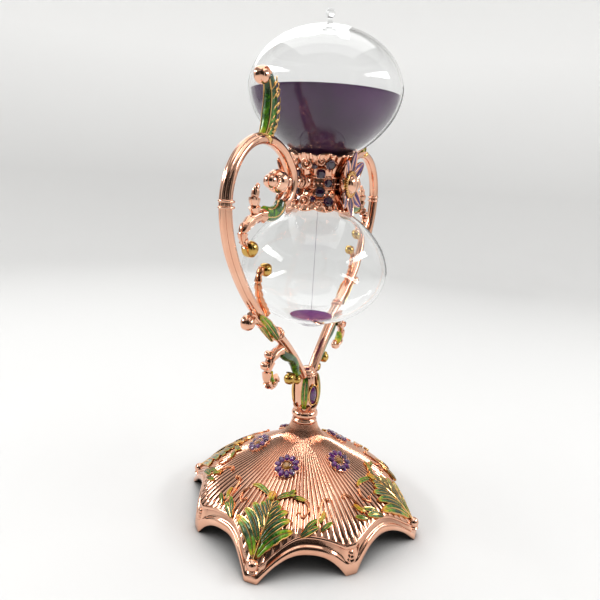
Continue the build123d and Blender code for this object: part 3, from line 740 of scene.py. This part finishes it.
def arm_path(sign):
    """Points along the arm's chain of tangent arcs, and the outward normal at each."""
    spots = [Vector(p) for p in ARM_POINTS]
    ahead = Vector((0.618, 0.786)).normalized()
    path, outs = [], []
    for start, end in zip(spots, spots[1:]):
        chord = end - start
        left = Vector((-ahead.y, ahead.x))
        radius = chord.length_squared / (2 * chord.dot(left))
        centre = start + left * radius
        first = atan2(start.y - centre.y, start.x - centre.x)
        last = atan2(end.y - centre.y, end.x - centre.x)
        turn = last - first
        if radius > 0 and turn < 0:
            turn += 2 * pi
        if radius < 0 and turn > 0:
            turn -= 2 * pi
        steps = max(int(abs(turn * radius) / 1.2), 3)
        for k in range(steps + (end is spots[-1])):
            angle = first + turn * k / steps
            point = centre + abs(radius) * Vector((cos(angle), sin(angle)))
            heading = Vector((-sin(angle), cos(angle))) * (1 if turn > 0 else -1)
            path.append(Vector((sign * point.x, 0, point.y)))
            outs.append(Vector((sign * heading.y, 0, -heading.x)))
        heading = Vector((-sin(last), cos(last))) * (1 if turn > 0 else -1)
        ahead = heading.normalized()
    return path, outs


def reeded_section(radius, count=48):
    """Three reeds over the outer side of the arm, and a flatter inner side."""
    made = []
    for k in range(count):
        turn = 2 * pi * k / count
        a, b = cos(turn), sin(turn)
        if b >= 0:
            place = (turn / pi * 3) % 1.0
            bulge = 0.86 + 0.16 * sqrt(max(1 - (2 * place - 1) ** 2, 0))
            made.append((radius * bulge * a, radius * bulge * b))
        else:
            made.append((radius * 0.86 * a, radius * 0.62 * b))
    return made


def blade_width(share):
    return 1.25 - 0.9 * abs(share - 0.42) ** 1.1


def build_arm(side, sign):
    """One arm with its ornaments. sign is the side of the pivot's axis that it stands on."""
    inward = Vector((-sign, 0, 0))

    def at(x, z):
        return Vector((sign * x, 0, z))

    def way(points, spans):
        return [at(p.x, p.y) for p in smooth_line(points, spans)]

    def own(name, shape, material, replaced=None, angle=40):
        piece(f"{side}_{name}", shape, material, "stand", [f"{side}_{replaced}"] if replaced else (),
              angle=angle)

    def ribbed(shape, points, wide, deep, ribs, grow, hand):
        """A fleshy cast leaf seen edge on, with lobes that step along its outer side."""
        line = way(points, 14)
        last = len(line) - 1
        rows = []
        for j, p in enumerate(line):
            ahead = (line[min(j + 1, last)] - line[max(j - 1, 0)]).normalized()
            out = ahead.cross(ACROSS) * hand
            swell = grow(j / last)
            step_out = (1 - (j / last * ribs) % 1.0) ** 0.6
            row = []
            for a, b in oval(1.0, 1.0, 28):
                far = 0.35 + 0.65 * max(a, 0)
                reach = wide * swell * a * (0.62 + 0.78 * step_out * far)
                flute = 1 + 0.12 * cos(6 * atan2(b, a))
                bulge = deep * swell * b * flute * (0.66 + 0.42 * step_out)
                row.append(p + out * reach + ACROSS * bulge)
            rows.append(row)
        shape.rows([[line[0]] * 28] + rows + [[line[-1]] * 28])

    arm = Shape()
    path, outs = arm_path(sign)
    sweep(arm, path, outs, reeded_section(ARM_RADIUS))
    for share in ARM_BANDS:
        spot = int(share * (len(path) - 1))
        place = facing(path[spot], path[spot + 1] - path[spot - 1], ACROSS)
        lathe(arm, arc_profile(0.62, -180, 180, 12, 0, ARM_RADIUS - 0.15), place, 36)
    own("reeded_arm", arm, ROSE, "arm", angle=48)

    # finial: a ball rolled into the head of a leaf that stands on the top of the arm
    finial = Shape()
    volute(finial, at(63.2, 238.5), 4.1, 90 + sign * 70, 0.8, -sign, 0.86, wide=0.66)
    own("finial", finial, ROSE, "finial_ball")
    blade, edge = Shape(), Shape()
    spine = way([(59.4, 214.0), (57.4, 217.4), (55.6, 223), (55.2, 231), (56.8, 237), (60.2, 240.6)], 8)
    last = len(spine) - 1
    sweep(blade, spine, inward, oval(2.2, 3.5, 20), blade_width, (0.6, 0.0))
    for hand in (-1, 1):
        rail = []
        for k, p in enumerate(spine):
            wide = blade_width(k / last)
            rail.append(p + Vector((sign * 2.4 * wide, hand * 1.6 * wide, 0)))
        sweep(edge, rail, inward, oval(0.45, 0.45, 8))
    # serrations up the inner side, then the fine veins across the leaf's flanks
    for k in range(9):
        s = 0.12 + 0.8 * k / 9
        p = spine[int(s * last)]
        wide = blade_width(s)
        for hand in (-1, 0, 1):
            root = p + Vector((-sign * (2.5 - abs(hand) * 1.2) * wide, hand * 1.7 * wide, -1.4))
            tip = p + Vector((-sign * (4.6 - abs(hand) * 1.6) * wide, hand * 2.3 * wide, 2.2))
            bend = (root + tip) / 2 + Vector((-sign * 0.7, hand * 0.3, -0.5))
            line = smooth_line([root, bend, tip], 4)
            sweep(edge, line, ACROSS, oval(0.75, 0.6, 8), taper(1.1, 0.8))
    for k in range(6):
        p = spine[int((0.1 + 0.12 * k) * last)]
        for hand in (-1, 1):
            rib = [p + Vector((sign * 2.4, hand * 1.5, -1)), p + Vector((0, hand * 2.7, 2.2)),
                   p + Vector((-sign * 3.0, hand * 1.7, 3.6))]
            sweep(edge, smooth_line(rib, 4), Vector((0, hand, 0)), oval(0.3, 0.3, 6))
    place = facing(at(59.6, 213.4), (-sign * 0.42, 0, 0.9), ACROSS)
    lathe(edge, [(0, -0.8), (3.6, -0.8)] + arc_profile(0.7, -60, 90, 5, 0.1, 3.4)
          + [(2.4, 1.0), (0, 1.0)], place, 28)
    own("finial_blade", blade, GREEN, "finial_leaf")
    own("finial_edges", edge, GOLD)

    # scroll at the curled end: a green calyx, a ribbed horn and a leaf that rolls into a ball
    calyx, calyx_gold, horn, roll = Shape(), Shape(), Shape(), Shape()
    spine = way([(41.7, 185.2), (43.6, 182.6), (47.6, 180.9), (52, 180.6), (57.0, 181.4)], 7)
    sweep(calyx, spine, ACROSS, oval(3.3, 2.9, 24), lambda s: 0.92 + 0.16 * sin(pi * s), (0.15, 0.5))
    for k in range(5):
        turn = 2 * pi * (k + 0.5) / 5
        line = []
        for j, p in enumerate(spine):
            s = j / (len(spine) - 1)
            wide = 3.15 * (0.92 + 0.16 * sin(pi * s))
            ahead = (spine[min(j + 1, len(spine) - 1)] - spine[max(j - 1, 0)]).normalized()
            out = ahead.cross(ACROSS)
            line.append(p + out * (wide * cos(turn + s)) + ACROSS * (wide * 0.9 * sin(turn + s)))
        sweep(calyx_gold, line, ACROSS, oval(0.38, 0.38, 8), taper(1.1, 0.4))
    own("calyx", calyx, GREEN, "scroll_calyx")
    own("calyx_ribs", calyx_gold, GOLD)

    ribbed(horn, [(62.6, 194.0), (64.6, 190.8), (65.3, 186.4), (63.6, 181.6), (58.2, 180.4)], 2.9, 2.6, 5,
           lambda s: min(0.25 + 1.6 * s, 1.0) * (1 - 0.15 * s), sign)
    ribbed(horn, [(57.6, 180.6), (63.6, 180.2), (69.6, 177.6), (73.6, 174.4), (73.6, 170.4),
                  (70.6, 167.4)], 2.9, 2.7, 6, taper(1.0, 0.35), -sign)
    volute(roll, at(67.2, 165.8), 4.2, 90 - sign * 50, 0.75, -sign, 0.88, wide=0.6)
    own("scroll_horn", horn, ROSE, "scroll_leaves", angle=60)
    own("scroll_roll", roll, DARK_GOLD, "scroll_ball")

    # tendril that climbs beside the arm and rolls over at its head
    vine, head = Shape(), Shape()
    ribbed(vine, [(51.2, 132.6), (53.4, 136.2), (56.6, 140.2), (58.9, 145.6), (59.4, 151), (57.0, 156.2)],
           1.75, 1.8, 8, taper(1.15, 0.3), sign)
    volute(head, at(53.0, 154.3), 3.4, 90 - sign * 40, 0.8, sign, 0.88, wide=0.62)
    own("vine", vine, COPPER, "tendril", angle=60)
    own("vine_head", head, DARK_GOLD, "tendril_ball")

    # leaf that wraps the lower arm, with a roll at its tip
    wrap_gold, wrap_green, bud = Shape(), Shape(), Shape()
    down = Vector((sign * 0.6, 0, -0.8))
    for turn in (-58, 0, 58):
        tilt = Matrix.Rotation(radians(turn), 3, Vector((sign * 0.76, 0, 0.65)))
        lean = tilt @ down
        middle = way([(41.4, 119.8), (48, 126.0), (54.6, 131.8), (60.2, 136.2)], 7)
        spine = [p + lean * 3.3 for p in middle]
        leaf(wrap_gold, wrap_green, spine, lean, 2.6, 1.1, lobes=4, cup=-0.2, tones=(0.3, 0.72))
    volute(bud, at(67.0, 131.4), 3.9, 90 + sign * 60, 0.85, -sign, 0.86, wide=0.62)
    ribbed(bud, [(55.8, 128.6), (59.6, 130.6), (62.8, 133.8), (65.6, 135.2)], 1.6, 2.0, 3,
           taper(1.1, 0.4), sign)
    own("wrap_leaf", wrap_green, GREEN, "arm_leaf")
    own("wrap_edges", wrap_gold, GOLD)
    own("wrap_roll", bud, ROSE, "arm_leaf_ball")

    # root of the arm: an enamelled arch, rolled curls and a serrated leaf that ends in a hook
    curls, arch_green, arch_gold, hook, spot_green = Shape(), Shape(), Shape(), Shape(), Shape()
    volute(curls, at(22.5, 90.5), 3.5, 90, 1.0, sign, 0.86, wide=0.62)
    volute(curls, at(13.0, 86.8), 2.7, 90, 1.0, -sign, 0.86, wide=0.62)
    own("root_curls", curls, DARK_GOLD, "root_curl")
    spine = way([(33.6, 108.6), (28.6, 105.4), (22.2, 102.6), (17.6, 98), (15.4, 93.4), (12.4, 90.6)], 7)
    sweep(arch_green, spine, ACROSS, oval(2.6, 2.5, 24),
          lambda s: 0.78 + 0.4 * sin(pi * min(s * 1.15, 1)), (0.12, 0.5))
    for hand in (-1, 1):
        rail = [p + Vector((0, hand * 1.5, 0)) + Vector((sign * -0.6, 0, 1.0)) * 1.5 for p in spine]
        sweep(arch_gold, rail, ACROSS, oval(0.4, 0.4, 8), taper(1.0, 0.4))
    own("root_enamel", arch_green, GREEN, "root_arch")
    own("root_rails", arch_gold, GOLD)
    ribbed(hook, [(34.6, 109.8), (38.6, 109.6), (43.2, 107.6), (46.4, 103.6), (47.4, 98.6), (45.0, 94.4),
                  (40.4, 93.0), (37.0, 94.6), (38.4, 96.8)], 2.3, 2.4, 7, taper(1.15, 0.55), sign)
    for x, z, size in ((45.8, 110.2, 2.2), (49.2, 105.4, 2.2)):
        volute(hook, at(x, z), size, 90 + sign * 30, 0.7, -sign, 0.7, wide=1.0)
    own("root_hook", hook, ROSE, "root_leaf", angle=60)
    spine = way([(43.6, 101.6), (44.6, 98.6), (42.8, 96.2), (40.4, 95.4)], 6)
    sweep(spot_green, spine, ACROSS, oval(1.0, 2.2, 14), lambda s: 0.6 + 0.5 * sin(pi * s), (0.6, 0.75))
    own("hook_enamel", spot_green, GREEN)

    # pivot: a turned knob with a button outside the arm, and a bead inside it
    knob, bead = Shape(), Shape()
    out = Vector((sign, 0, 0))
    place = facing((0, 0, PIVOT), out)
    profile = [(2.0, 36.0), (3.0, 36.0), (3.3, 36.8), (3.3, 38.4), (2.9, 39.2)]
    profile += arc_profile(5.6, -62, 58, 24, 45.5) + [(2.9, 50.4), (3.5, 50.8), (3.5, 51.2), (2.9, 51.5)]
    profile += arc_profile(3.3, -30, 90, 14, 52.3)
    lathe(knob, profile, place, 56)
    bead_row(knob, [place(5.75 * cos(2 * pi * k / 20) * 0.62, 5.75 * sin(2 * pi * k / 20) * 0.62, 49.9)
                    for k in range(20)], 0.42, out, 8)
    profile = [(2.0, 24.6), (2.5, 24.7), (2.6, 25.2)] + arc_profile(2.7, -35, 60, 14, 27.2) + [(1.9, 29.6)]
    lathe(bead, profile, place, 40)
    own("knob", knob, ROSE, "pivot_knob")
    own("bead", bead, ROSE, "pivot_bead")


for side, sign in (("left", -1), ("right", 1)):
    build_arm(side, sign)

# ------------------------------------------------------------------ glass and sand

SHOULDER = [(4.6, 7.4), (6.4, 9.8), (12, 12.8), (20, 17.0), (28, 23.4), (34, 30.4), (38, 37.6), (40, 46)]
INNER_SHOULDER = [(1.2, 3.0), (3.6, 8.6), (11.4, 14.1), (19.3, 18.2), (27.1, 24.5), (32.9, 31.2),
                  (36.7, 38.2), (38.7, 46)]


def bulb_line(shoulder, far, pole, sense):
    """Outline of one bulb from the neck round to near its pole."""
    made = list(shoulder)
    widest = shoulder[-1][0]
    for turn in range(12, int(pole) + 1, 12):
        made.append((widest * cos(radians(turn)), BULB_CENTRE + far * sin(radians(turn))))
    return [(p.x, sense * p.y) for p in smooth_line(made, 5)]


turning = facing((0, 0, PIVOT), UP, ACROSS)
bulbs = Shape()
outer = bulb_line(SHOULDER, BULB_FAR, 84, 1)
nipple = [(2.0, 77.9), (1.45, 79.4), (1.15, 81.0), (1.2, 81.7)] + arc_profile(2.3, -55, 90, 12, 83.5)
lower_outer = bulb_line(SHOULDER, BULB_FAR, 72, -1)
thick_pip = [(9.0, -77.2), (6.6, -78.6), (3.6, -79.4), (0, -79.6)]
lathe(bulbs, (thick_pip[::-1] + lower_outer[::-1] + outer + nipple), turning, 96)
inner = bulb_line(INNER_SHOULDER, BULB_FAR - GLASS_WALL, 84, 1)
lower_inner = bulb_line(INNER_SHOULDER, BULB_FAR - GLASS_WALL, 84, -1)
far_inside = BULB_CENTRE + BULB_FAR - GLASS_WALL
hollow = [(0, -far_inside)] + lower_inner[::-1] + inner + [(0, far_inside)]
lathe(bulbs, hollow[::-1], turning, 96)
piece("blown_bulbs", bulbs, GLASS, "glass", ["glass_bulbs"], angle=80, recalc=False)

sand = Shape()
side_line = [(p[0] - 0.1, p[1] + 0.1) for p in inner if p[1] < SAND_LEVEL]


def settled(radius, height, turn):
    if height > SAND_LEVEL - 3 and radius < 38.2:
        spot = Vector((radius * cos(turn), radius * sin(turn), 0)) * 0.12
        return radius, height + 0.25 * noise.noise(spot)
    return radius, height


surface = [(38.45, SAND_LEVEL)]
for share in (0.97, 0.9, 0.8, 0.7, 0.6, 0.5, 0.4, 0.3, 0.2, 0.15, 0.1, 0.05, 0):
    surface.append((38.2 * share, SAND_LEVEL - 0.15 - 2.3 * max(0, 1 - 5 * share) ** 1.2))
start = [p for p in side_line if p[0] > 3.2]
lathe(sand, [(0, start[0][1])] + start + surface, turning, 96, settled)
piece("upper_sand_body", sand, SAND, "glass", ["upper_sand"])

pile = Shape()
bed = []
for k in range(13):
    reach = 12.0 * k / 12
    bed.append((reach, -(BULB_CENTRE + (BULB_FAR - GLASS_WALL) * sqrt(1 - (reach / 38.7) ** 2) - 0.1)))
bed_edge = bed[-1][1]
heap = []
for k in range(13):
    heap.append((12.0 * (1 - k / 12), bed_edge + 0.2 + (-72.5 - bed_edge) * (k / 12) ** 1.3))


def heaped(radius, height, turn):
    spot = Vector((radius * cos(turn), radius * sin(turn), height)) * 0.3
    return radius * (1 + 0.03 * noise.noise(spot)), height + 0.1 * noise.noise(spot) * (radius < 11)


lathe(pile, bed + heap, turning, 72, heaped)
piece("fallen_sand", pile, FALLEN, "glass", ["lower_sand"])

fall = Shape()
line = []
for h in range(7, -73, -1):
    sway_x = 0.1 * noise.noise(Vector((0, 0, h * 0.35)))
    sway_y = 0.1 * noise.noise(Vector((3, 0, h * 0.35)))
    line.append(Vector((sway_x, sway_y, PIVOT + h)))
sweep(fall, line, ACROSS, oval(0.11, 0.11, 8), lambda s: 0.8 + 0.2 * sin(40 * s))
piece("falling_sand", fall, FALLEN, "glass", ["sand_stream"])

# ------------------------------------------------------------------ collar

for name, sense in (("upper_collar", 1), ("lower_collar", -1)):
    cup = Shape()

    def ruffle(radius, height, turn, sense=sense):
        """Acanthus ribs that grow towards a scalloped, rolled rim."""
        grown = min(max((abs(height) - 4) / 10, 0), 1)
        lobe = abs(cos(5 * turn))
        rib = 0.45 * cos(30 * turn) * grown
        outer_side = radius > 6.5
        if not outer_side:
            return radius, height
        return radius + rib + grown * (0.9 * lobe - 1.1), height + sense * grown * (1.1 * lobe - 0.7)

    profile = [(6.1, 0.3), (6.1, 5.0), (6.3, 8.2), (9, 10.2), (11.5, 11.6), (15, 13.0),
               (17.6, 13.9), (18.4, 14.3), (18.9, 14.1), (19.0, 13.5), (18.6, 12.8), (17.6, 11.4),
               (16.0, 9.4), (14.6, 7.6), (13.6, 5.8), (13.2, 4.4), (13.0, 2.6), (13.0, 0.3)]
    lathe(cup, [(r, sense * h) for r, h in smooth_line(profile, 3)], turning, 240, ruffle)
    for angle in (0, 180):
        for tilt in (-26, 0, 26):
            out = Vector((cos(radians(angle + tilt)), sin(radians(angle + tilt)), 0))
            size = 3.3 if tilt == 0 else 2.3
            height = sense * (9.2 if tilt == 0 else 10.6)
            centre = Vector((0, 0, PIVOT + height)) + out * (16.4 if tilt == 0 else 16.6)
            place = facing(centre, out)
            lathe(cup, [(0, -1.5), (size * 0.9, -1.5)] + arc_profile(0.7, -70, 180, 8, 0.2, size - 0.7)
                  + [(size * 0.45, 0.0)] + arc_profile(size * 0.38, 0, 90, 6, 0.2), place, 28)
    piece(f"{name}_cup", cup, ROSE, "glass", [name], angle=60)

band = Shape()
profile = [(13.0, -3.4), (13.9, -3.4)] + arc_profile(0.6, -80, 80, 6, -2.8, 14.0)
profile += [(13.9, -2.1), (14.0, 2.1)] + arc_profile(0.6, -80, 80, 6, 2.8, 14.0)
lathe(band, profile + [(13.9, 3.4), (13.0, 3.4)], turning, 96)
for k in range(48):
    turn = 2 * pi * k / 48
    ball(band, turning(14.25 * cos(turn), 14.25 * sin(turn), 0), 0.75, UP, 8)
for sign in (-1, 1):
    place = facing((0, 0, PIVOT), (sign, 0, 0))
    profile = [(2.1, 13.4), (3.6, 13.4), (4.0, 13.9), (3.4, 14.4)] + arc_profile(3.4, -20, 50, 12, 16.6)
    profile += [(2.3, 19.6), (3.0, 19.9), (3.1, 20.5), (2.6, 21.0), (2.5, 22.6), (2.9, 23.0),
                (2.9, 23.8), (2.5, 24.2), (2.1, 24.2)]
    lathe(band, profile, place, 40)
piece("waist_ring", band, ROSE, "glass", ["waist_band"])

jewels, claws = Shape(), Shape()
CORNERS = ((1, 0), (0, 1), (-1, 0), (0, -1))
FRAME_PROFILE = ((0.2, -1.6), (1.15, -1.6), (1.3, 0.6), (1.2, 1.3), (1.02, 1.3), (0.98, 0.7), (0.2, 0.6))
# from the pivot's side: turn from the X axis, height, distance, half size, turn of the square, lean
SETTINGS = [(27, 4.7, 13.6, 2.9, 45, 0.1), (27, -4.7, 13.6, 2.9, 45, 0.1),
            (43, 9.8, 15.4, 3.1, 0, 0.45), (43, -9.8, 15.4, 3.1, 0, 0.45),
            (14, 8.6, 14.6, 1.9, 45, 0.35), (14, -8.6, 14.6, 1.9, 45, 0.35),
            (43, 0, 13.4, 2.5, 45, 0.0)]
for front in (-1, 1):
    for flank in (-1, 1):
        for angle, height, distance, half, twist, lean in SETTINGS:
            flat_out = Vector((flank * cos(radians(angle)), front * sin(radians(angle)), 0))
            centre = Vector((0, 0, PIVOT + height)) + flat_out * distance
            out = (flat_out - UP * (lean if height > 0 else -lean)).normalized()
            rise = Matrix.Rotation(radians(twist), 3, out) @ UP
            place = facing(centre, out, rise)
            gem(jewels, facing(centre + out * 0.9, out, rise), half, half, half * 0.62, 4, 0.5, turn=0)
            frame_rows = []
            for reach, level in FRAME_PROFILE:
                frame_rows.append([place(half * reach * x, half * reach * y, level) for x, y in CORNERS])
            claws.rows(frame_rows, along=True)
            for x, y in CORNERS:
                line = [place(half * reach * x, half * reach * y, level)
                        for reach, level in ((1.2, 0.2), (1.16, 1.6), (0.86, 2.3))]
                away = facing(line[0], out)(1, 0) - line[0]
                sweep(claws, smooth_line(line, 3), away, oval(0.42, 0.42, 8), taper(1.1, 0.3))
piece("collar_jewels", jewels, JET, "glass", ["collar_stones"], smooth=False)
piece("collar_claws", claws, ROSE, "glass")

petal_gold, petal_enamel, rope, dome = Shape(), Shape(), Shape(), Shape()
for facing_angle in (-90, 90):
    out = Vector((0, sin(radians(facing_angle)), 0))
    place = facing(Vector((0, 0, PIVOT)) + out * 16.4, out)
    lathe(petal_gold, [(0, -2.0), (6.6, -2.0), (7.3, -0.4), (7.3, 0.7), (6.8, 1.3), (0, 1.3)], place, 48)
    for petal_angle in (90, 45, -45, -90, -135, 135):
        reach = 16.8 if abs(petal_angle) == 90 else 16.2
        c, s = cos(radians(petal_angle)), sin(radians(petal_angle))
        lean = sin(radians(13))
        spine = []
        for p in smooth_line([(4.5, 0.4), (8, 1.0), (12, 1.9), (reach, 3.3)], 8):
            spine.append(place(p.x * c, p.x * s, p.y))
        up = (out - (place(c, s) - place(0, 0)) * lean).normalized()
        leaf(petal_gold, petal_enamel, spine, up, 4.3, 1.0, cup=0.12, tones=(0.1, 0.95))
    for k in range(36):
        turn = 2 * pi * k / 36
        ball(rope, place(6.5 * cos(turn), 6.5 * sin(turn), 2.1), 0.62, out, 8)
    lathe(rope, [(5.4, 0.8), (7.3, 0.8), (7.3, 1.5), (5.4, 1.5)], place, 48)
    lathe(rope, arc_profile(0.5, -180, 180, 10, 2.0, 5.5), place, 48)
    lathe(dome, [(0, 1.0), (5.0, 1.0), (5.1, 1.6), (4.9, 2.4), (4.3, 3.4), (3.4, 4.2), (2.2, 4.8),
                 (1.0, 5.05), (0, 5.1)], place, 48)
piece("petal_enamel", petal_enamel, VIOLET, "glass", ["collar_flowers"])
piece("petal_edges", petal_gold, ROSE, "glass")
piece("rope_rings", rope, GOLD, "glass", ["flower_rings"], slot="rose_gold")
piece("flower_domes", dome, ROSE, "glass", ["flower_bosses"])

# ------------------------------------------------------------------ CAD nodes that stay

STAYING = [("base_stud", STEEL), ("base_washer", STEEL), ("base_nut", STEEL), ("neck_sleeve", RUBBER),
           ("left_pivot_pin", STEEL), ("right_pivot_pin", STEEL)]
for name, material in STAYING:
    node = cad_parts[name]
    node.data.materials.clear()
    node.data.materials.append(material)

# ------------------------------------------------------------------ stage, lights and camera

CAMERA_AZIMUTH = radians(-64.80)
CAMERA_DISTANCE = 0.30062
CAMERA_HEIGHT = 0.19923
CAMERA_PITCH = 0.22606
CAMERA_PAN = -0.02233
CAMERA_ROLL = 0.05946
CAMERA_LENS = 32.80

stage_mesh = bpy.data.meshes.new("backdrop")
rings = []
FLOOR_REACH = 0.9
CURVE = 0.35
WALL = 0.9
ring_line = [(0.0, 0.0), (0.1, 0.0), (0.3, 0.0), (0.6, 0.0), (FLOOR_REACH, 0.0)]
for t in range(10, 91, 10):
    ring_line.append((FLOOR_REACH + CURVE * sin(radians(t)), CURVE * (1 - cos(radians(t)))))
ring_line += [(FLOOR_REACH + CURVE, CURVE + WALL)]
stage_shape = Shape()
lathe(stage_shape, [(r / MM, h / MM) for r, h in ring_line], upright, 96)
stage_mesh.from_pydata([p * MM for p in stage_shape.points], [], stage_shape.faces)
for polygon in stage_mesh.polygons:
    polygon.use_smooth = True
backdrop = bpy.data.objects.new("backdrop", stage_mesh)
bpy.context.scene.collection.objects.link(backdrop)
paper, paper_tree, paper_shader = tree_of("pale_paper")
paper_place = paper_tree.nodes.new("ShaderNodeTexCoord")
paper_split = paper_tree.nodes.new("ShaderNodeSeparateXYZ")
wire(paper_tree, paper_place.outputs["Object"], paper_split.inputs["Vector"])
# painted light and shade: the paper is grey on the floor and brightens to near white up the wall
paper_height_light = ramp_of(paper_tree, span_of(paper_tree, paper_split.outputs["Z"], 0.0, 1.0, 0.0, 0.5),
                     [(0.0, (0.74, 0.74, 0.735)), (0.35, (0.71, 0.71, 0.705)), (1.0, (0.97, 0.97, 0.965))])
# painted contact shadow: an ambient occlusion node darkens the paper near the object
paper_near = paper_tree.nodes.new("ShaderNodeAmbientOcclusion")
paper_near.inputs["Distance"].default_value = 0.05
paper_shade = ramp_of(paper_tree, paper_near.outputs["AO"],
                      [(0.25, (0.04, 0.04, 0.04)), (0.85, (1, 1, 1))])
paper_colour = blend_of(paper_tree, 1.0, paper_height_light, paper_shade, "MULTIPLY")
wire(paper_tree, paper_colour, paper_shader.inputs["Base Color"])
paper_shader.inputs["Roughness"].default_value = 0.7
stage_mesh.materials.append(paper)

toward = Vector((sin(CAMERA_AZIMUTH), -cos(CAMERA_AZIMUTH), 0))
right = Vector((cos(CAMERA_AZIMUTH), sin(CAMERA_AZIMUTH), 0))


def softbox(name, place, aim, wide, high, power, colour=(1, 1, 1)):
    """An area light that shows in reflections but not to the camera."""
    data = bpy.data.lights.new(name, "AREA")
    data.shape = "RECTANGLE"
    data.size = wide
    data.size_y = high
    data.energy = power
    data.color = colour
    obj = bpy.data.objects.new(name, data)
    bpy.context.scene.collection.objects.link(obj)
    obj.location = place
    obj.rotation_mode = "QUATERNION"
    obj.rotation_quaternion = (Vector(place) - Vector(aim)).to_track_quat("Z", "Y")
    obj.visible_camera = False
    return obj


middle = Vector((0, 0, 0.15))
for hand, flank_name in ((-1, "left"), (1, "right")):
    softbox(f"{flank_name}_strip", toward * 0.12 + right * hand * 0.78 + UP * 0.62, middle, 0.7, 0.12, 4.0)
softbox("ceiling", UP * 1.1 - toward * 0.1, middle, 1.1, 1.1, 5.2)
softbox("back_fill", -toward * 0.7 + UP * 0.7 - right * 0.2, middle, 0.6, 0.4, 1.2)


def flag(name, place, wide, high):
    """A black card that only reflections see, for the dark lines in polished metal."""
    mesh = bpy.data.meshes.new(name)
    mesh.from_pydata([(-wide / 2, -high / 2, 0), (wide / 2, -high / 2, 0), (wide / 2, high / 2, 0),
                      (-wide / 2, high / 2, 0)], [], [(0, 1, 2, 3)])
    card, card_tree, card_shader = tree_of(name + "_black")
    card_colour = ramp_of(card_tree, noise_of(card_tree, 8, 2),
                          [(0.3, (0.01, 0.01, 0.01)), (0.7, (0.02, 0.018, 0.018))])
    wire(card_tree, card_colour, card_shader.inputs["Base Color"])
    card_shader.inputs["Roughness"].default_value = 1.0
    mesh.materials.append(card)
    obj = bpy.data.objects.new(name, mesh)
    bpy.context.scene.collection.objects.link(obj)
    obj.location = place
    obj.rotation_mode = "QUATERNION"
    obj.rotation_quaternion = (Vector(place) - middle).to_track_quat("Z", "Y")
    obj.visible_camera = False
    obj.visible_diffuse = False
    obj.visible_transmission = False
    obj.visible_shadow = False


flag("front_flag", toward * 0.85 + UP * 0.48, 1.15, 0.80)
flag("left_flag", toward * 0.5 - right * 0.68 + UP * 0.4, 0.52, 0.66)
flag("right_flag", toward * 0.5 + right * 0.68 + UP * 0.4, 0.42, 0.62)
flag("back_flag", -toward * 0.8 + right * 0.3 + UP * 0.2, 0.3, 0.4)
flag("far_left_flag", -toward * 0.35 - right * 0.8 + UP * 0.2, 0.3, 0.4)

world = bpy.data.worlds.new("studio_air")
world.use_nodes = True
world.node_tree.nodes["Background"].inputs["Color"].default_value = (1.0, 0.985, 0.96, 1)
world.node_tree.nodes["Background"].inputs["Strength"].default_value = 0.33
bpy.context.scene.world = world

camera_data = bpy.data.cameras.new("camera")
camera_data.sensor_width = 36
camera_data.lens = CAMERA_LENS
camera_data.clip_start = 0.01
camera = bpy.data.objects.new("camera", camera_data)
bpy.context.scene.collection.objects.link(camera)
forward = -toward * cos(CAMERA_PAN) + right * sin(CAMERA_PAN)
level = right * cos(CAMERA_PAN) + toward * sin(CAMERA_PAN)
look = forward * cos(CAMERA_PITCH) - UP * sin(CAMERA_PITCH)
crown = UP * cos(CAMERA_PITCH) + forward * sin(CAMERA_PITCH)
x_axis = level * cos(CAMERA_ROLL) + crown * sin(CAMERA_ROLL)
y_axis = crown * cos(CAMERA_ROLL) - level * sin(CAMERA_ROLL)
turned = Matrix((x_axis, y_axis, -look)).transposed().to_4x4()
camera.matrix_world = Matrix.Translation(toward * CAMERA_DISTANCE + UP * CAMERA_HEIGHT) @ turned
bpy.context.scene.camera = camera
bpy.context.scene.view_settings.view_transform = "Standard"
